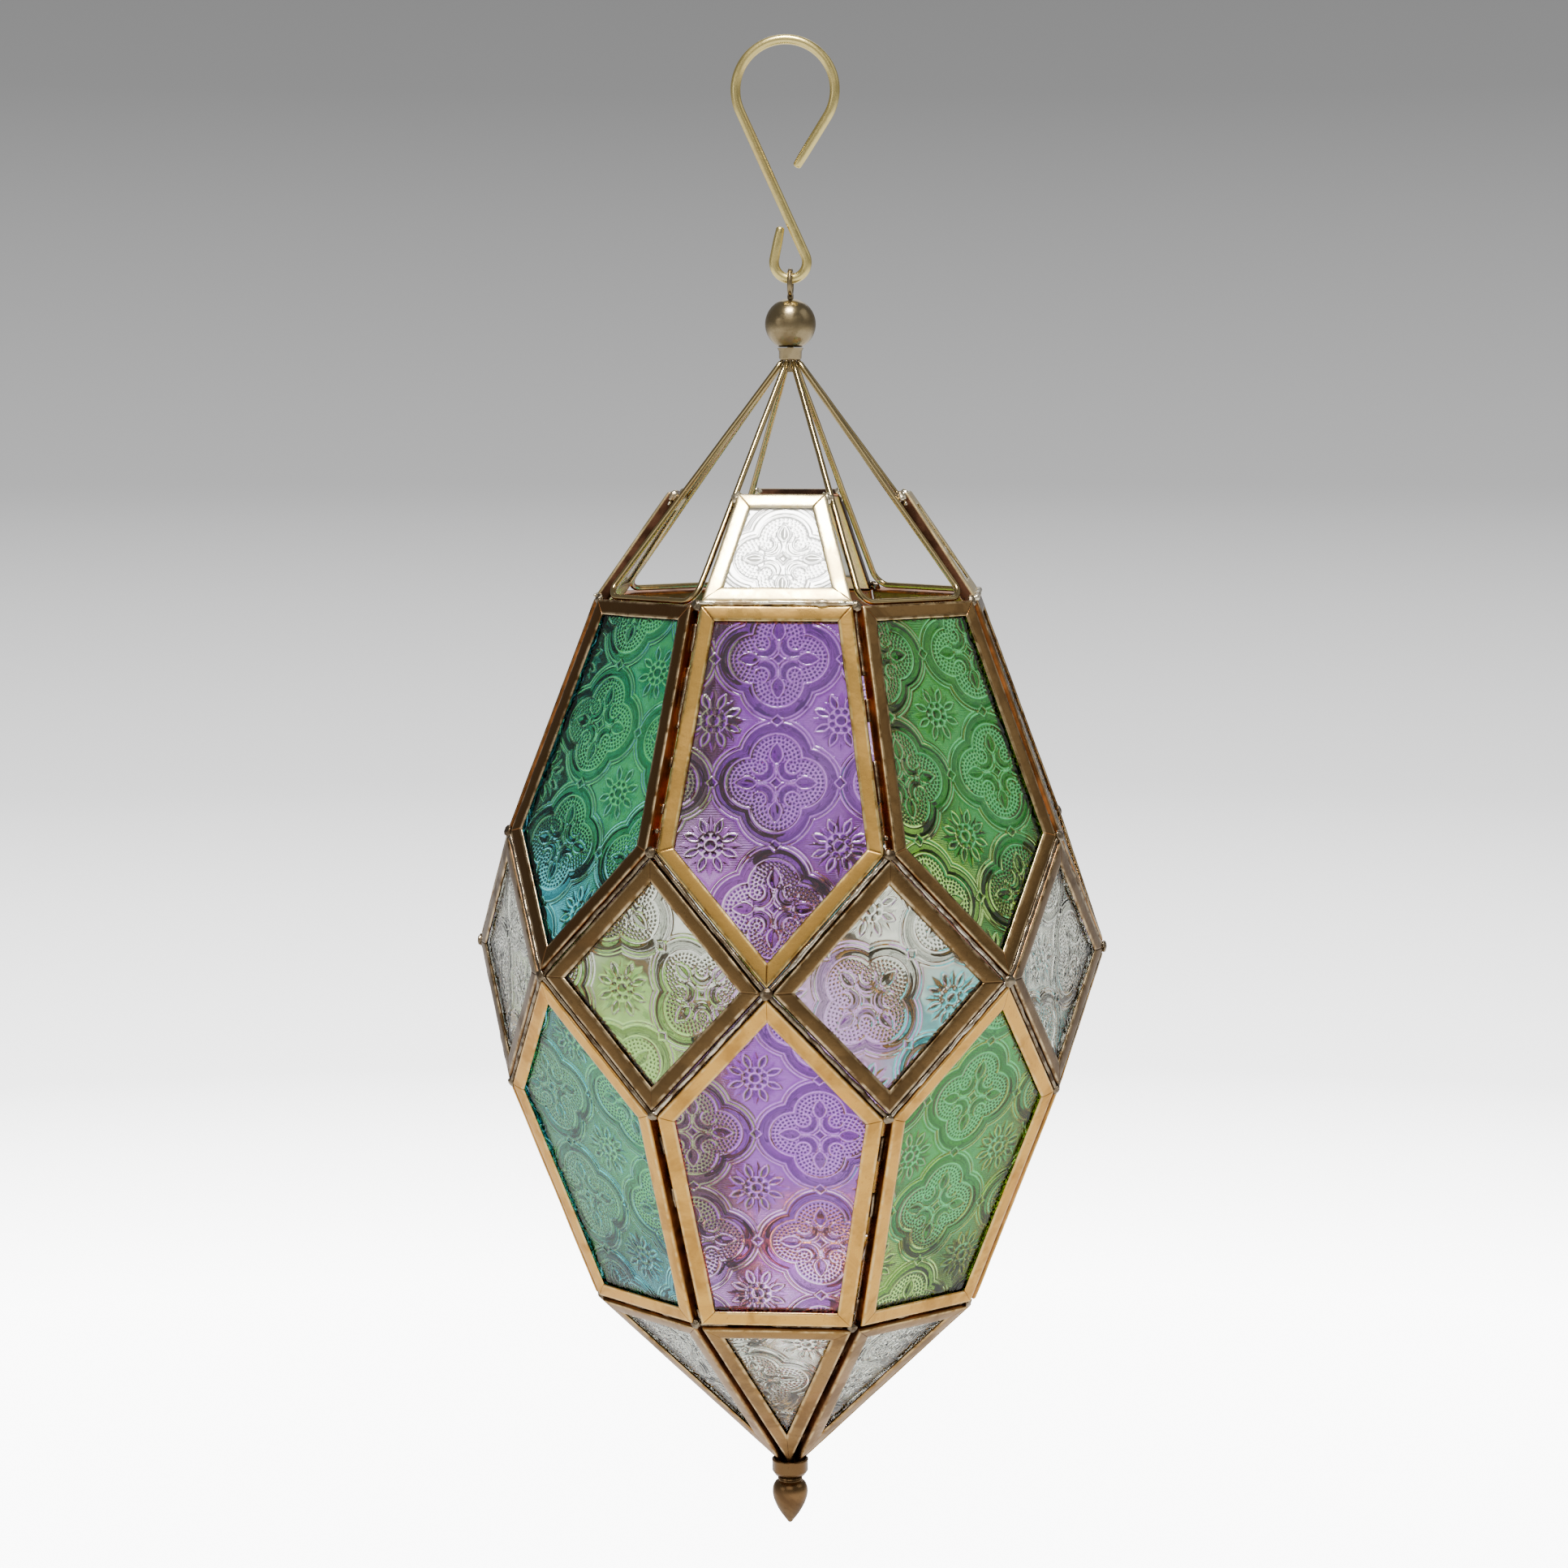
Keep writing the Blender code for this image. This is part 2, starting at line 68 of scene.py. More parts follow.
def add_mesh(name, verts, faces, mat, slot, node=None, body="lantern", flat=(), attributes=None, sharp=None):
    """A smooth mesh piece from lists, but for its flat faces; it stands for the CAD node."""
    mesh = bpy.data.meshes.new(name)
    sizes = np.array([len(face) for face in faces], np.int32)
    mesh.vertices.add(len(verts))
    mesh.vertices.foreach_set("co", np.asarray(verts, np.float32).ravel())
    mesh.loops.add(sizes.sum())
    mesh.loops.foreach_set("vertex_index", np.concatenate(faces).astype(np.int32))
    mesh.polygons.add(len(sizes))
    mesh.polygons.foreach_set("loop_start", (np.cumsum(sizes) - sizes).astype(np.int32))
    mesh.update(calc_edges=True)
    smooth = np.ones(len(sizes), bool)
    smooth[list(flat)] = False
    mesh.polygons.foreach_set("use_smooth", smooth)
    for key, values in (attributes or {}).items():
        values = np.asarray(values, np.float32)
        kind, field = ("FLOAT_VECTOR", "vector") if values.ndim == 2 else ("FLOAT", "value")
        mesh.attributes.new(key, kind, "POINT").data.foreach_set(field, values.ravel())
    if sharp is not None:
        mesh.set_sharp_from_angle(angle=math.radians(sharp))
    mesh.materials.append(mat)
    obj = bpy.data.objects.new(name, mesh)
    bpy.context.scene.collection.objects.link(obj)
    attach(obj, body)
    if node:
        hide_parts(node)


def grid_faces(rows, columns, close_rows=False, close_columns=False):
    """Quads over a rows x columns grid of vertices."""
    i, j = np.meshgrid(np.arange(rows - (not close_rows)), np.arange(columns - (not close_columns)), indexing="ij")
    i2, j2 = (i + 1) % rows, (j + 1) % columns
    quads = np.stack([i * columns + j, i * columns + j2, i2 * columns + j2, i2 * columns + j], -1)
    return quads.reshape(-1, 4)


def tube(points, radii, sides=16, closed=False):
    """Vertices and faces of a round bar along the points, closed on itself or with domed ends."""
    points = [Vector(p) for p in points]
    count = len(points)
    tangents = []
    for i in range(count):
        before = points[i - 1] if closed or i else points[i]
        after = points[(i + 1) % count] if closed or i < count - 1 else points[i]
        tangents.append((after - before).normalized())
    side = tangents[0].orthogonal().normalized()
    rings = []
    for point, tangent, radius in zip(points, tangents, radii):
        side = (side - tangent * side.dot(tangent)).normalized()
        rings.append((point, side.copy(), tangent.cross(side), radius))
    if not closed:
        for end, ahead in ((0, -tangents[0]), (-1, tangents[-1])):
            centre, first, second, radius = rings[end]
            for reach, shrink in DOME:
                tip = (centre + ahead * radius * reach * 0.6, first, second, radius * shrink)
                rings.insert(0 if end == 0 else len(rings), tip)
    verts = []
    for centre, first, second, radius in rings:
        for k in range(sides):
            angle = 2 * math.pi * k / sides
            verts.append((centre + first * (radius * math.cos(angle)) + second * (radius * math.sin(angle)))[:])
    faces = grid_faces(len(rings), sides, close_rows=closed, close_columns=True).tolist()
    if not closed:
        faces += end_caps(len(rings), sides)
    return np.array(verts), faces


def end_caps(rows, columns):
    """The faces that close the first and the last ring."""
    last = (rows - 1) * columns
    return [list(range(columns))[::-1], list(range(last, last + columns))]


def lathe(profile, steps=64, wobble=0.0, ends="capped"):
    """Vertices and faces turned from (radius, z) pairs; the ends are capped, joined to each other or open."""
    verts = []
    for radius, z in profile:
        for k in range(steps):
            angle = 2 * math.pi * k / steps
            x, y = radius * math.cos(angle), radius * math.sin(angle)
            if wobble and radius > 0:
                push = 1 + wobble * noise.noise(Vector((x, y, z)) * 160) / max(radius * 200, 1)
                x, y = x * push, y * push
            verts.append((x, y, z))
    faces = grid_faces(len(profile), steps, close_rows=ends == "joined", close_columns=True).tolist()
    if ends == "capped":
        faces += end_caps(len(profile), steps)
    return np.array(verts), faces


def merged(parts):
    """Several (verts, faces) pairs as one."""
    faces = []
    offset = 0
    for verts, part_faces in parts:
        faces += [[i + offset for i in face] for face in part_faces]
        offset += len(verts)
    return np.concatenate([verts for verts, _ in parts]), faces


# ---------------- materials

class Shader:
    """A small wrapper that adds and links shader nodes."""

    def __init__(self, name):
        self.material = bpy.data.materials.new(name)
        self.material.use_nodes = True
        self.tree = self.material.node_tree

    def node(self, kind, **inputs):
        made = self.tree.nodes.new("ShaderNode" + kind)
        for key, value in inputs.items():
            self.feed(made, key, value)
        return made

    def feed(self, node, key, value):
        """Link or set an input; _3 means input number 3."""
        socket = node.inputs[int(key[1:]) if key[0] == "_" else key.replace("_", " ")]
        if isinstance(value, bpy.types.NodeSocket):
            self.tree.links.new(value, socket)
        else:
            socket.default_value = value

    def finish(self, **inputs):
        """Feed the Principled shader and return the material."""
        for key, value in inputs.items():
            self.feed(self.tree.nodes["Principled BSDF"], key, value)
        return self.material

    def coords(self):
        return self.node("TexCoord").outputs["Object"]

    def noise(self, scale, detail=3.0, rough=0.55, vector=None, distort=0.0):
        return self.node("TexNoise", Vector=vector or self.coords(), Scale=scale, Detail=detail,
                         Roughness=rough, Distortion=distort).outputs["Fac"]

    def ramp(self, value, low, high, start=0.0, end=1.0):
        made = self.node("MapRange", Value=value, From_Min=low, From_Max=high, To_Min=start, To_Max=end)
        made.interpolation_type = "SMOOTHSTEP"
        return made.outputs["Result"]

    def math(self, operation, first, second=0.0):
        made = self.node("Math", _0=first, _1=second)
        made.operation = operation
        return made.outputs[0]

    def times(self, first, second):
        return self.math("MULTIPLY", first, second)

    def mix(self, factor, first, second, blend="MIX"):
        made = self.node("Mix")
        made.data_type = "RGBA"
        made.blend_type = blend
        for key, value in (("_0", factor), ("_6", first), ("_7", second)):
            self.feed(made, key, (*value, 1.0) if isinstance(value, tuple) else value)
        return made.outputs[2]

    def attribute(self, name, output="Fac"):
        made = self.node("Attribute")
        made.attribute_name = name
        return made.outputs[output]

    def bump(self, height, strength, distance, normal=None):
        made = self.node("Bump", Height=height, Strength=strength, Distance=distance)
        if normal is not None:
            self.feed(made, "Normal", normal)
        return made.outputs["Normal"]


def brass(name, base, dark, bright, patina, rough=(0.24, 0.42), groove=(0.05, 0.022, 0.012)):
    """Worn, lacquered brass: blotchy patina, bright rubbed edges, dark grooves and fine scratches."""
    s = Shader(name)
    blotch = s.ramp(s.noise(55, 5, 0.6, distort=0.6), 0.42, 0.68)
    cloud = s.ramp(s.noise(17, 2, 0.5), 0.35, 0.7)
    speck = s.noise(700, 3, 0.6)
    color = s.mix(s.times(blotch, patina), base, dark)
    tint = s.mix(s.ramp(s.noise(34, 3, 0.6), 0.5, 0.72), (1.0, 1.0, 1.0), (1.0, 0.86, 0.80))
    color = s.mix(s.times(cloud, 0.8), color, s.mix(1.0, color, tint, "MULTIPLY"))
    color = s.mix(s.times(s.ramp(speck, 0.58, 0.72), 0.35), color, dark)
    rubbed = s.times(s.attribute("wear"), s.ramp(s.noise(210, 3, 0.6), 0.35, 0.62))
    color = s.mix(s.times(rubbed, 0.75), color, bright)
    deep_color = s.mix(s.ramp(s.noise(120, 3), 0.35, 0.7), groove, tuple(c * 2.6 for c in groove))
    color = s.mix(s.attribute("groove"), color, deep_color)
    mottle = s.math("ADD", s.times(speck, 0.4), s.times(blotch, 0.6))
    stretch = s.node("Mapping", Vector=s.coords(), Scale=(900, 900, 60))
    scratches = s.noise(1.0, 2, 0.5, vector=stretch.outputs[0])
    dents = s.bump(s.noise(260, 4, 0.6), 0.35, 0.00025)
    return s.finish(Base_Color=color, Metallic=1.0, Roughness=s.ramp(mottle, 0.1, 0.8, *rough),
                    Normal=s.bump(scratches, 0.12, 0.0001, dents))


def solder(name, base, dark, rough=(0.18, 0.4)):
    """Tin solder: silvery, lumpy, tarnished in patches."""
    s = Shader(name)
    blotch = s.ramp(s.noise(170, 4, 0.6), 0.42, 0.62)
    return s.finish(Base_Color=s.mix(blotch, base, dark), Metallic=1.0, Roughness=s.ramp(blotch, 0, 1, *rough),
                    Normal=s.bump(s.noise(700, 4, 0.65), 0.5, 0.0003))


# What the "light" attribute of a pressed pane means: 0 is the deepest stain. Besides the stain it holds painted shade
# in the hollows and beside the raised lines, and painted highlight on them.
GROUND_LIGHT = 0.3
PALE_LIGHT = 1.0
CLEAR_BACK_LIGHT = 2.0
HATCH_SCALE = 541.0  # fine ribs of the ground, 0.58 mm apart


def glass(name, deep, mid, pale, clear=(0.98, 0.985, 0.975), roughness=0.03, **coat):
    """Pressed glass, deep in its hollows and pale on its raised lines, with a clear back: partly the glass's stain,
    partly painted shade in the hollows and painted highlight on the lines.
    """
    s = Shader(name)
    light = s.attribute("light")
    cloud = s.ramp(s.noise(26, 3, 0.5), 0.40, 0.75)
    color = s.mix(cloud, mid, tuple(c + (p - c) * 0.22 for c, p in zip(mid, pale)))
    color = s.mix(s.math("MINIMUM", s.math("DIVIDE", light, GROUND_LIGHT), 1.0), deep, color)
    raised = s.math("DIVIDE", s.math("SUBTRACT", light, GROUND_LIGHT), PALE_LIGHT - GROUND_LIGHT)
    color = s.mix(s.math("MAXIMUM", raised, 0.0), color, pale)
    color = s.mix(s.math("MAXIMUM", s.math("SUBTRACT", light, PALE_LIGHT), 0.0), color, clear)
    wave = s.node("TexWave", Vector=s.attribute("plate", "Vector"), Scale=HATCH_SCALE)
    wave.bands_direction = "Y"
    wave.wave_profile = "SIN"
    ribs = s.bump(s.times(wave.outputs["Fac"], s.attribute("ground")), 0.35, 0.0001)
    look = {"Transmission_Weight": 1.0, "IOR": 1.5, "Roughness": roughness, **coat}
    return s.finish(Base_Color=color, Normal=s.bump(s.noise(420, 3, 0.5), 0.08, 0.0002, ribs), **look)


GLASS = {
    "purple_glass": glass("purple pressed glass", (0.009, 0.0004, 0.036), (0.18, 0.011, 0.34), (0.78, 0.42, 0.92)),
    "lime_glass": glass("lime pressed glass", (0.001, 0.028, 0.0003), (0.046, 0.19, 0.0010), (0.36, 0.80, 0.09)),
    "amber_glass": glass("amber pressed glass", (0.22, 0.020, 0.0005), (0.66, 0.22, 0.008), (0.95, 0.76, 0.30)),
    "turquoise_glass": glass("turquoise pressed glass", (0.0002, 0.032, 0.050), (0.0007, 0.17, 0.27),
                             (0.06, 0.78, 0.76)),
    "clear_glass": glass("clear pressed glass", (0.045, 0.053, 0.030), (0.79, 0.83, 0.68), (0.98, 0.985, 0.95),
                         roughness=0.025),
}
# Painted glare: the crown's panes are coloured near white, with a strong coat, to stand in for their glare in the
# light from above.
CROWN_GLASS = glass("pale glass painted with crown glare", (0.66, 0.67, 0.60), (0.96, 0.965, 0.93), (0.99, 0.99, 0.98),
                    roughness=0.15, Transmission_Weight=0.28, Coat_Weight=1.0, Coat_Roughness=0.12, Coat_IOR=2.0)

UPPER_GROOVE = (0.20, 0.070, 0.018)
BRASS = {
    # Painted glare: the crown's frames take a pale copy of the brass that stands in for the light from above.
    "crown": brass("crown brass", (0.88, 0.70, 0.34), (0.55, 0.38, 0.16), (0.96, 0.86, 0.58), 0.3),
    # Painted light: a brighter gold copy of the upper brass for the lit front frame.
    "front": brass("painted-light gold brass", (0.385, 0.224, 0.056), (0.22, 0.12, 0.027), (0.92, 0.70, 0.28), 0.45,
                   groove=UPPER_GROOVE),
    "upper": brass("upper bronze brass", (0.22, 0.13, 0.05), (0.11, 0.062, 0.024), (0.84, 0.62, 0.32), 0.55,
                   groove=UPPER_GROOVE),
    # Painted shade: a darker copy of the upper brass for the upper frames on the left.
    "dark": brass("painted-shade bronze brass", (0.17, 0.092, 0.034), (0.07, 0.038, 0.016), (0.74, 0.56, 0.32), 0.6,
                  groove=UPPER_GROOVE),
    "diamond": brass("diamond bronze brass", (0.18, 0.106, 0.042), (0.07, 0.042, 0.019), (0.74, 0.56, 0.32), 0.6,
                     groove=(0.10, 0.048, 0.020)),
    "lower": brass("lower golden brass", (0.78, 0.42, 0.09), (0.37, 0.176, 0.041), (0.92, 0.64, 0.26), 0.65,
                   groove=(0.15, 0.064, 0.020)),
    "bottom": brass("bottom tan brass", (0.32, 0.175, 0.052), (0.14, 0.074, 0.024), (0.72, 0.50, 0.23), 0.65,
                    groove=(0.11, 0.050, 0.018)),
    "cup": brass("cup brown brass", (0.165, 0.10, 0.043), (0.072, 0.045, 0.021), (0.62, 0.44, 0.21), 0.6),
}
WIRE_BRASS = brass("wire brass", (0.44, 0.34, 0.16), (0.18, 0.13, 0.062), (0.92, 0.80, 0.50), 0.3, (0.13, 0.21))
HOOK_BRASS = brass("hook brass", (0.80, 0.65, 0.25), (0.54, 0.42, 0.15), (0.94, 0.86, 0.50), 0.4, (0.26, 0.40))
BALL_BRASS = brass("ball antique brass", (0.32, 0.25, 0.138), (0.135, 0.098, 0.047), (0.74, 0.58, 0.30), 0.7,
                   (0.22, 0.42))
FINIAL_BRASS = brass("finial brown brass", (0.21, 0.127, 0.056), (0.090, 0.052, 0.025), (0.50, 0.34, 0.16), 0.7,
                     (0.26, 0.44))
SOLDER = solder("tarnished solder", (0.30, 0.24, 0.16), (0.085, 0.055, 0.030))
GRAIN_SOLDER = solder("granular solder", (0.70, 0.62, 0.48), (0.16, 0.11, 0.065), (0.14, 0.34))
BRIGHT_SOLDER = solder("bright solder", (0.86, 0.78, 0.58), (0.40, 0.29, 0.16), (0.14, 0.34))


# ---------------- outlines from the CAD panes

class Plane:
    """A flat pane's own axes: u to the viewer's right, v up the slope, n outwards."""

    def __init__(self, node_name):
        points = np.array([v.co[:] for v in NODES[node_name].data.vertices])
        points = np.unique(np.round(points, 6), axis=0)
        centre = points.mean(0)
        normal = np.linalg.svd(points - centre)[2][2]
        if normal @ np.array([centre[0], centre[1], 0]) < 0:
            normal = -normal
        self.n = normal
        self.v = np.array([0, 0, 1.0]) - normal * normal[2]
        self.v /= np.linalg.norm(self.v)
        self.u = np.cross(self.v, normal)
        front = points[(points - centre) @ normal > 0]
        offset = (front - centre) @ normal
        self.origin = centre + normal * (offset.mean() - PANE_TOP)
        flat = np.stack([(front - self.origin) @ self.u, (front - self.origin) @ self.v], -1)
        order = np.argsort(np.arctan2(flat[:, 1], flat[:, 0]))
        self.outline = inset(flat[order], -PANE_INSET)

    def at(self, flat, rise):
        """Points in space for (u, v) pairs at a height above the cage's inner surface."""
        flat = np.asarray(flat, float)
        rise = np.asarray(rise, float)[..., None]
        return self.origin + flat[..., :1] * self.u + flat[..., 1:2] * self.v + rise * self.n


def inset(polygon, distance):
    """Move each edge of a counter-clockwise outline inwards, corners mitred."""
    ahead = np.roll(polygon, -1, 0) - polygon
    ahead /= np.linalg.norm(ahead, axis=1)[:, None]
    inward = np.stack([-ahead[:, 1], ahead[:, 0]], -1)
    before = np.roll(inward, 1, 0)
    return polygon + (before + inward) * (distance / (1 + (before * inward).sum(1)))[:, None]


def depth_inside(polygon, points):
    """Distance of points inside a convex outline, negative outside."""
    depth = np.full(len(points), 1e9)
    for start, end in zip(polygon, np.roll(polygon, -1, 0)):
        ahead = (end - start) / np.linalg.norm(end - start)
        depth = np.minimum(depth, (points - start) @ np.array([-ahead[1], ahead[0]]))
    return depth


# ---------------- pressed pattern

REPEAT = 43.0 * MM
LINE = 0.0075
RELIEF = 0.62 * MM


def ridge(distance, width=LINE):
    return np.exp(-(distance / width) ** 2)


def step(value, low, high):
    t = np.clip((value - low) / (high - low), 0, 1)
    return t * t * (3 - 2 * t)


def pits(cells):
    """1 in the middle of each cell, 0 at its edges."""
    return 1 - step(np.abs(cells % 1 - 0.5) * 2, 0.50, 0.85)


def inside(distance, soft=0.005):
    """1 inside a shape, 0 outside, from its signed distance."""
    return 1 - step(distance, -soft, soft)


def lens(along, across, start, end, half, power=1.0, lean=1.0):
    """Signed distance, roughly, to a leaf from start to end along an axis."""
    t = np.clip((along - start) / (end - start), 0, 1)
    width = half * np.sin(np.pi * t ** lean) ** power
    beyond = np.maximum(start - along, along - end)
    return np.maximum(np.abs(across) - width, beyond)


def pressed_pattern(u, v):
    """Height in metres, paleness (the stain, with painted shade in the hollows and beside the lines and painted
    highlight on the lines) and hatched-ground mask, at (u, v) in repeats.

    Lengths here are in repeats and heights in units of RELIEF; a and b are folded about a medallion's axes.
    """
    mx = np.abs((u + 0.5) % 1.0 - 0.5)
    my = np.abs((v + 0.5) % 1.0 - 0.5)
    a = np.maximum(mx, my)
    b = np.minimum(mx, my)
    height = np.zeros_like(u)
    light = np.full_like(u, 0.36)

    def lay(mask, new_height, new_light):
        nonlocal height, light
        height = height * (1 - mask) + new_height * mask
        light = light * (1 - mask) + new_light * mask

    def line(distance, rise, width=LINE, where=1.0):
        nonlocal height, light
        crest = ridge(distance, width) * where
        height = height + rise * crest
        # Painted shade: the stain is darkened on both flanks of each raised line, standing in for the dark refraction
        # beside it.
        light = light * (1 - 0.75 * ridge(distance, width * 2.6) * where)
        # The crest turns pale: the raised line's own pale colour, with painted highlight on it.
        light = light + (1 - light) * crest

    outer = np.hypot(a - 0.209, b) - 0.280
    inner = np.hypot(a - 0.193, b) - 0.200
    across = np.clip(inner / np.maximum(inner - outer, 1e-6), 0, 1)
    lay(inside(outer), 0.10 + 0.42 * np.sin(np.pi * across) ** 0.8, 0.02 + 0.12 * (1 - across))

    # Rows of small square pits that fill each lobe, and a round patch of them at each diagonal.
    row = (0.200 - 0.012 - np.hypot(a - 0.193, b)) / 0.031
    row_radius = 0.200 - 0.012 - 0.031 * (np.floor(row) + 0.5)
    count = np.round(2 * np.pi * np.abs(row_radius) / 0.034)
    pit = pits(np.arctan2(b, a - 0.193) * count / (2 * np.pi)) * pits(row)
    patch_r = np.hypot(a - 0.130, b - 0.130)
    patch_angle = np.arctan2(b - 0.130, a - 0.130)
    ring_pit = pits(patch_angle * 8 / (2 * np.pi)) * (1 - step(np.abs(patch_r - 0.037) / 0.014, 0.6, 1.0))
    patch_pit = np.maximum(ring_pit, 1 - step(patch_r, 0.009, 0.015))
    in_patch = inside(patch_r - 0.056, 0.003)
    pit = pit * (1 - in_patch) + patch_pit * in_patch
    rows = inside(inner + 0.010) * np.clip(step(a, 0.118, 0.126) + in_patch, 0, 1)
    lay(inside(inner + 0.004), 0.12, 0.16)
    lay(rows, 0.26 - 0.13 * pit, 0.78 - 0.78 * pit)
    line(inner, 0.38)

    # The plain crescents between the patches and the centre.
    disc = np.hypot(a - 0.105, b - 0.105) - 0.092
    crescent = np.maximum(np.maximum(disc, 0.060 - patch_r), a - 0.165)
    lay(inside(crescent), 0.05 + 0.35 * np.clip(-crescent / 0.03, 0, 1), 0.06)
    line(disc, 0.34, where=inside(a - 0.150, 0.006) * inside(a + b - 0.215, 0.01))
    line(patch_r - 0.059, 0.25, where=inside(a + b - 0.300, 0.02))

    # Drop-shaped petals along the axes and the hollow at the centre.
    drop = lens(a, b, 0.150, 0.322, 0.050, power=0.8, lean=0.85)
    lay(inside(drop), 0.05 + 0.5 * np.clip(-drop / 0.05, 0, 1), 0.10)
    line(drop, 0.36, where=inside(np.abs(a - 0.236) - 0.098))
    line(b, 0.30, where=inside(np.abs(a - 0.10) - 0.052))
    centre = (a + b) * 0.72 + 0.25 * a * b / 0.05 - 0.036
    lay(inside(centre), 0.28 + centre * 6, 0.05)
    line(centre, 0.34, where=inside(a - 0.08))

    # Double outline of the medallion.
    line(outer, 0.45)
    line(outer - 0.027, 0.36)

    # Knots where medallions meet.
    knot = (0.5 - a) / 0.044 + b / 0.050 - 1
    lay(inside(knot, 0.12), 0.30 - 0.25 * np.clip(-knot, 0, 1), 0.05)
    line(knot * 0.045, 0.30, where=inside(knot - 0.4, 0.1))

    # The flower between four medallions: broad leaves, eight petals, eight beads and a disc.
    fx = 0.5 - mx
    fy = 0.5 - my
    far = np.hypot(fx, fy)
    angle = np.arctan2(fy, fx)
    eighth = np.pi / 4
    turn = angle - np.round(angle / eighth) * eighth
    along = far * np.cos(turn)
    aside = np.abs(far * np.sin(turn))
    reach = np.where(np.round(angle / eighth) % 2 == 0, 0.262, 0.232)
    run = np.clip((along - 0.09) / (reach - 0.09), 0, 1)
    leaf = np.maximum(aside - 0.055 * (1 - run), along - reach)
    lay(inside(leaf, 0.004), 0.05 + 0.50 * (1 - run) * np.clip(1 - aside / 0.05, 0, 1), 0.06 + 0.30 * run)
    turn = angle - (np.floor(angle / eighth) + 0.5) * eighth
    along = far * np.cos(turn)
    aside = far * np.sin(turn)
    petal = lens(along, aside, 0.095, 0.222, 0.027, power=0.8)
    lay(inside(petal, 0.004), 0.12, 0.04)
    line(petal, 0.34, where=inside(np.abs(along - 0.16) - 0.07))
    lay(inside(far - 0.105), 0.30, 0.80)
    bead = np.hypot(along - 0.077, aside) - 0.022
    lay(inside(bead, 0.003), 0.30 + np.clip(bead / 0.022, -1, 0) * 0.30, 0.04)
    lay(inside(far - 0.036, 0.003), 0.30 + np.clip((far - 0.036) / 0.036, -1, 0) * 0.26, 0.04)
    line(far - 0.045, 0.18)

    ground = inside(0.040 - outer) * inside(0.112 - far) * inside(-petal) * inside(-leaf, 0.008)
    return height * RELIEF, np.clip(light, 0, 1), np.clip(ground, 0, 1)


CELL = 0.30 * MM
GLASS_INSET = 4.0 * MM
GLASS_BACK = 1.1 * MM
GLASS_FACE = 3.6 * MM
EDGE_FADE = (0.2 * MM, 1.3 * MM)  # the relief dies out under the came's lip


def boundary_loop(mask):
    """Corner indices, in order, round the outside of a block of grid cells."""
    padded = np.pad(mask, 1)
    following = {}
    for di, dj, first, second in ((0, -1, (0, 0), (1, 0)), (1, 0, (1, 0), (1, 1)),
                                  (0, 1, (1, 1), (0, 1)), (-1, 0, (0, 1), (0, 0))):
        beyond = np.roll(padded, (-di, -dj), (0, 1))[1:-1, 1:-1]
        for i, j in zip(*np.nonzero(mask & ~beyond)):
            following[(i + first[0], j + first[1])] = (i + second[0], j + second[1])
    start = next(iter(following))
    loop = [start]
    while following[loop[-1]] != start:
        loop.append(following[loop[-1]])
    return loop


def neighbours(grid):
    """The grid shifted by each step of a 3 x 3 block."""
    return [np.roll(grid, (di, dj), (0, 1)) for di in (-1, 0, 1) for dj in (-1, 0, 1)]


def opened(mask):
    """Drop the cells that are in no 3 x 3 block, so that the outline has no pinched tips."""
    core = np.logical_and.reduce(neighbours(np.pad(mask, 1)))
    return np.logical_or.reduce(neighbours(core))[1:-1, 1:-1] & mask


def pressed_pane(node, mat, slot, turn, shift):
    """The pane as a closed slab with the pattern pressed in its outer face."""
    plane = Plane(node)
    edge = inset(plane.outline, GLASS_INSET)
    low, high = np.floor(edge.min(0) / CELL), np.ceil(edge.max(0) / CELL)
    us, vs = (np.arange(low[axis], high[axis] + 1) * CELL for axis in (0, 1))
    grid = np.stack(np.meshgrid(us, vs, indexing="ij"), -1)
    shape = grid.shape[:2]
    depth = depth_inside(edge, grid.reshape(-1, 2)).reshape(shape)
    good = depth >= 0
    cells = opened(good[:-1, :-1] & good[1:, :-1] & good[1:, 1:] & good[:-1, 1:])
    used = np.zeros(shape, bool)
    for di in (0, 1):
        for dj in (0, 1):
            used[di:shape[0] - 1 + di, dj:shape[1] - 1 + dj] |= cells
    number = np.full(shape, -1)
    number[used] = np.arange(used.sum())
    i, j = np.nonzero(cells)
    quads = np.stack([number[i, j], number[i + 1, j], number[i + 1, j + 1], number[i, j + 1]], -1)
    flat = grid[used]
    c, s = math.cos(math.radians(turn)), math.sin(math.radians(turn))
    x, y = ((flat / MM - np.array(shift)) * MM / REPEAT).T
    pu, pv = x * c + y * s, -x * s + y * c
    relief, light, ground = pressed_pattern(pu, pv)
    fade = step(depth[used], *EDGE_FADE)
    sag = 0.0
    sag = np.array([noise.noise(Vector((x * 30, y * 30, turn))) for x, y in flat]) * 0.12 * MM
    front = plane.at(flat, GLASS_FACE + relief * fade + sag * fade)
    loop = boundary_loop(cells)
    rim = np.array([number[p] for p in loop])
    back = plane.at(np.array([grid[p] for p in loop]), np.full(len(loop), GLASS_BACK))
    base = len(front) + np.arange(len(rim))
    walls = np.stack([rim, base, np.roll(base, -1), np.roll(rim, -1)], -1)
    faces = [*quads.tolist(), *walls.tolist(), base[::-1].tolist()]
    plate = np.zeros((len(front) + len(back), 3), np.float32)
    plate[:len(front), 0] = pu * REPEAT
    plate[:len(front), 1] = pv * REPEAT
    layers = {"light": np.concatenate([light, np.full(len(back), CLEAR_BACK_LIGHT)]),
              "ground": np.concatenate([ground, np.zeros(len(back))]), "plate": plate}
    add_mesh("glass_" + node.replace("_pane", ""), np.concatenate([front, back]), faces, mat, slot, node,
             flat=range(len(quads), len(faces)), attributes=layers)
    return plane


# ---------------- folded came

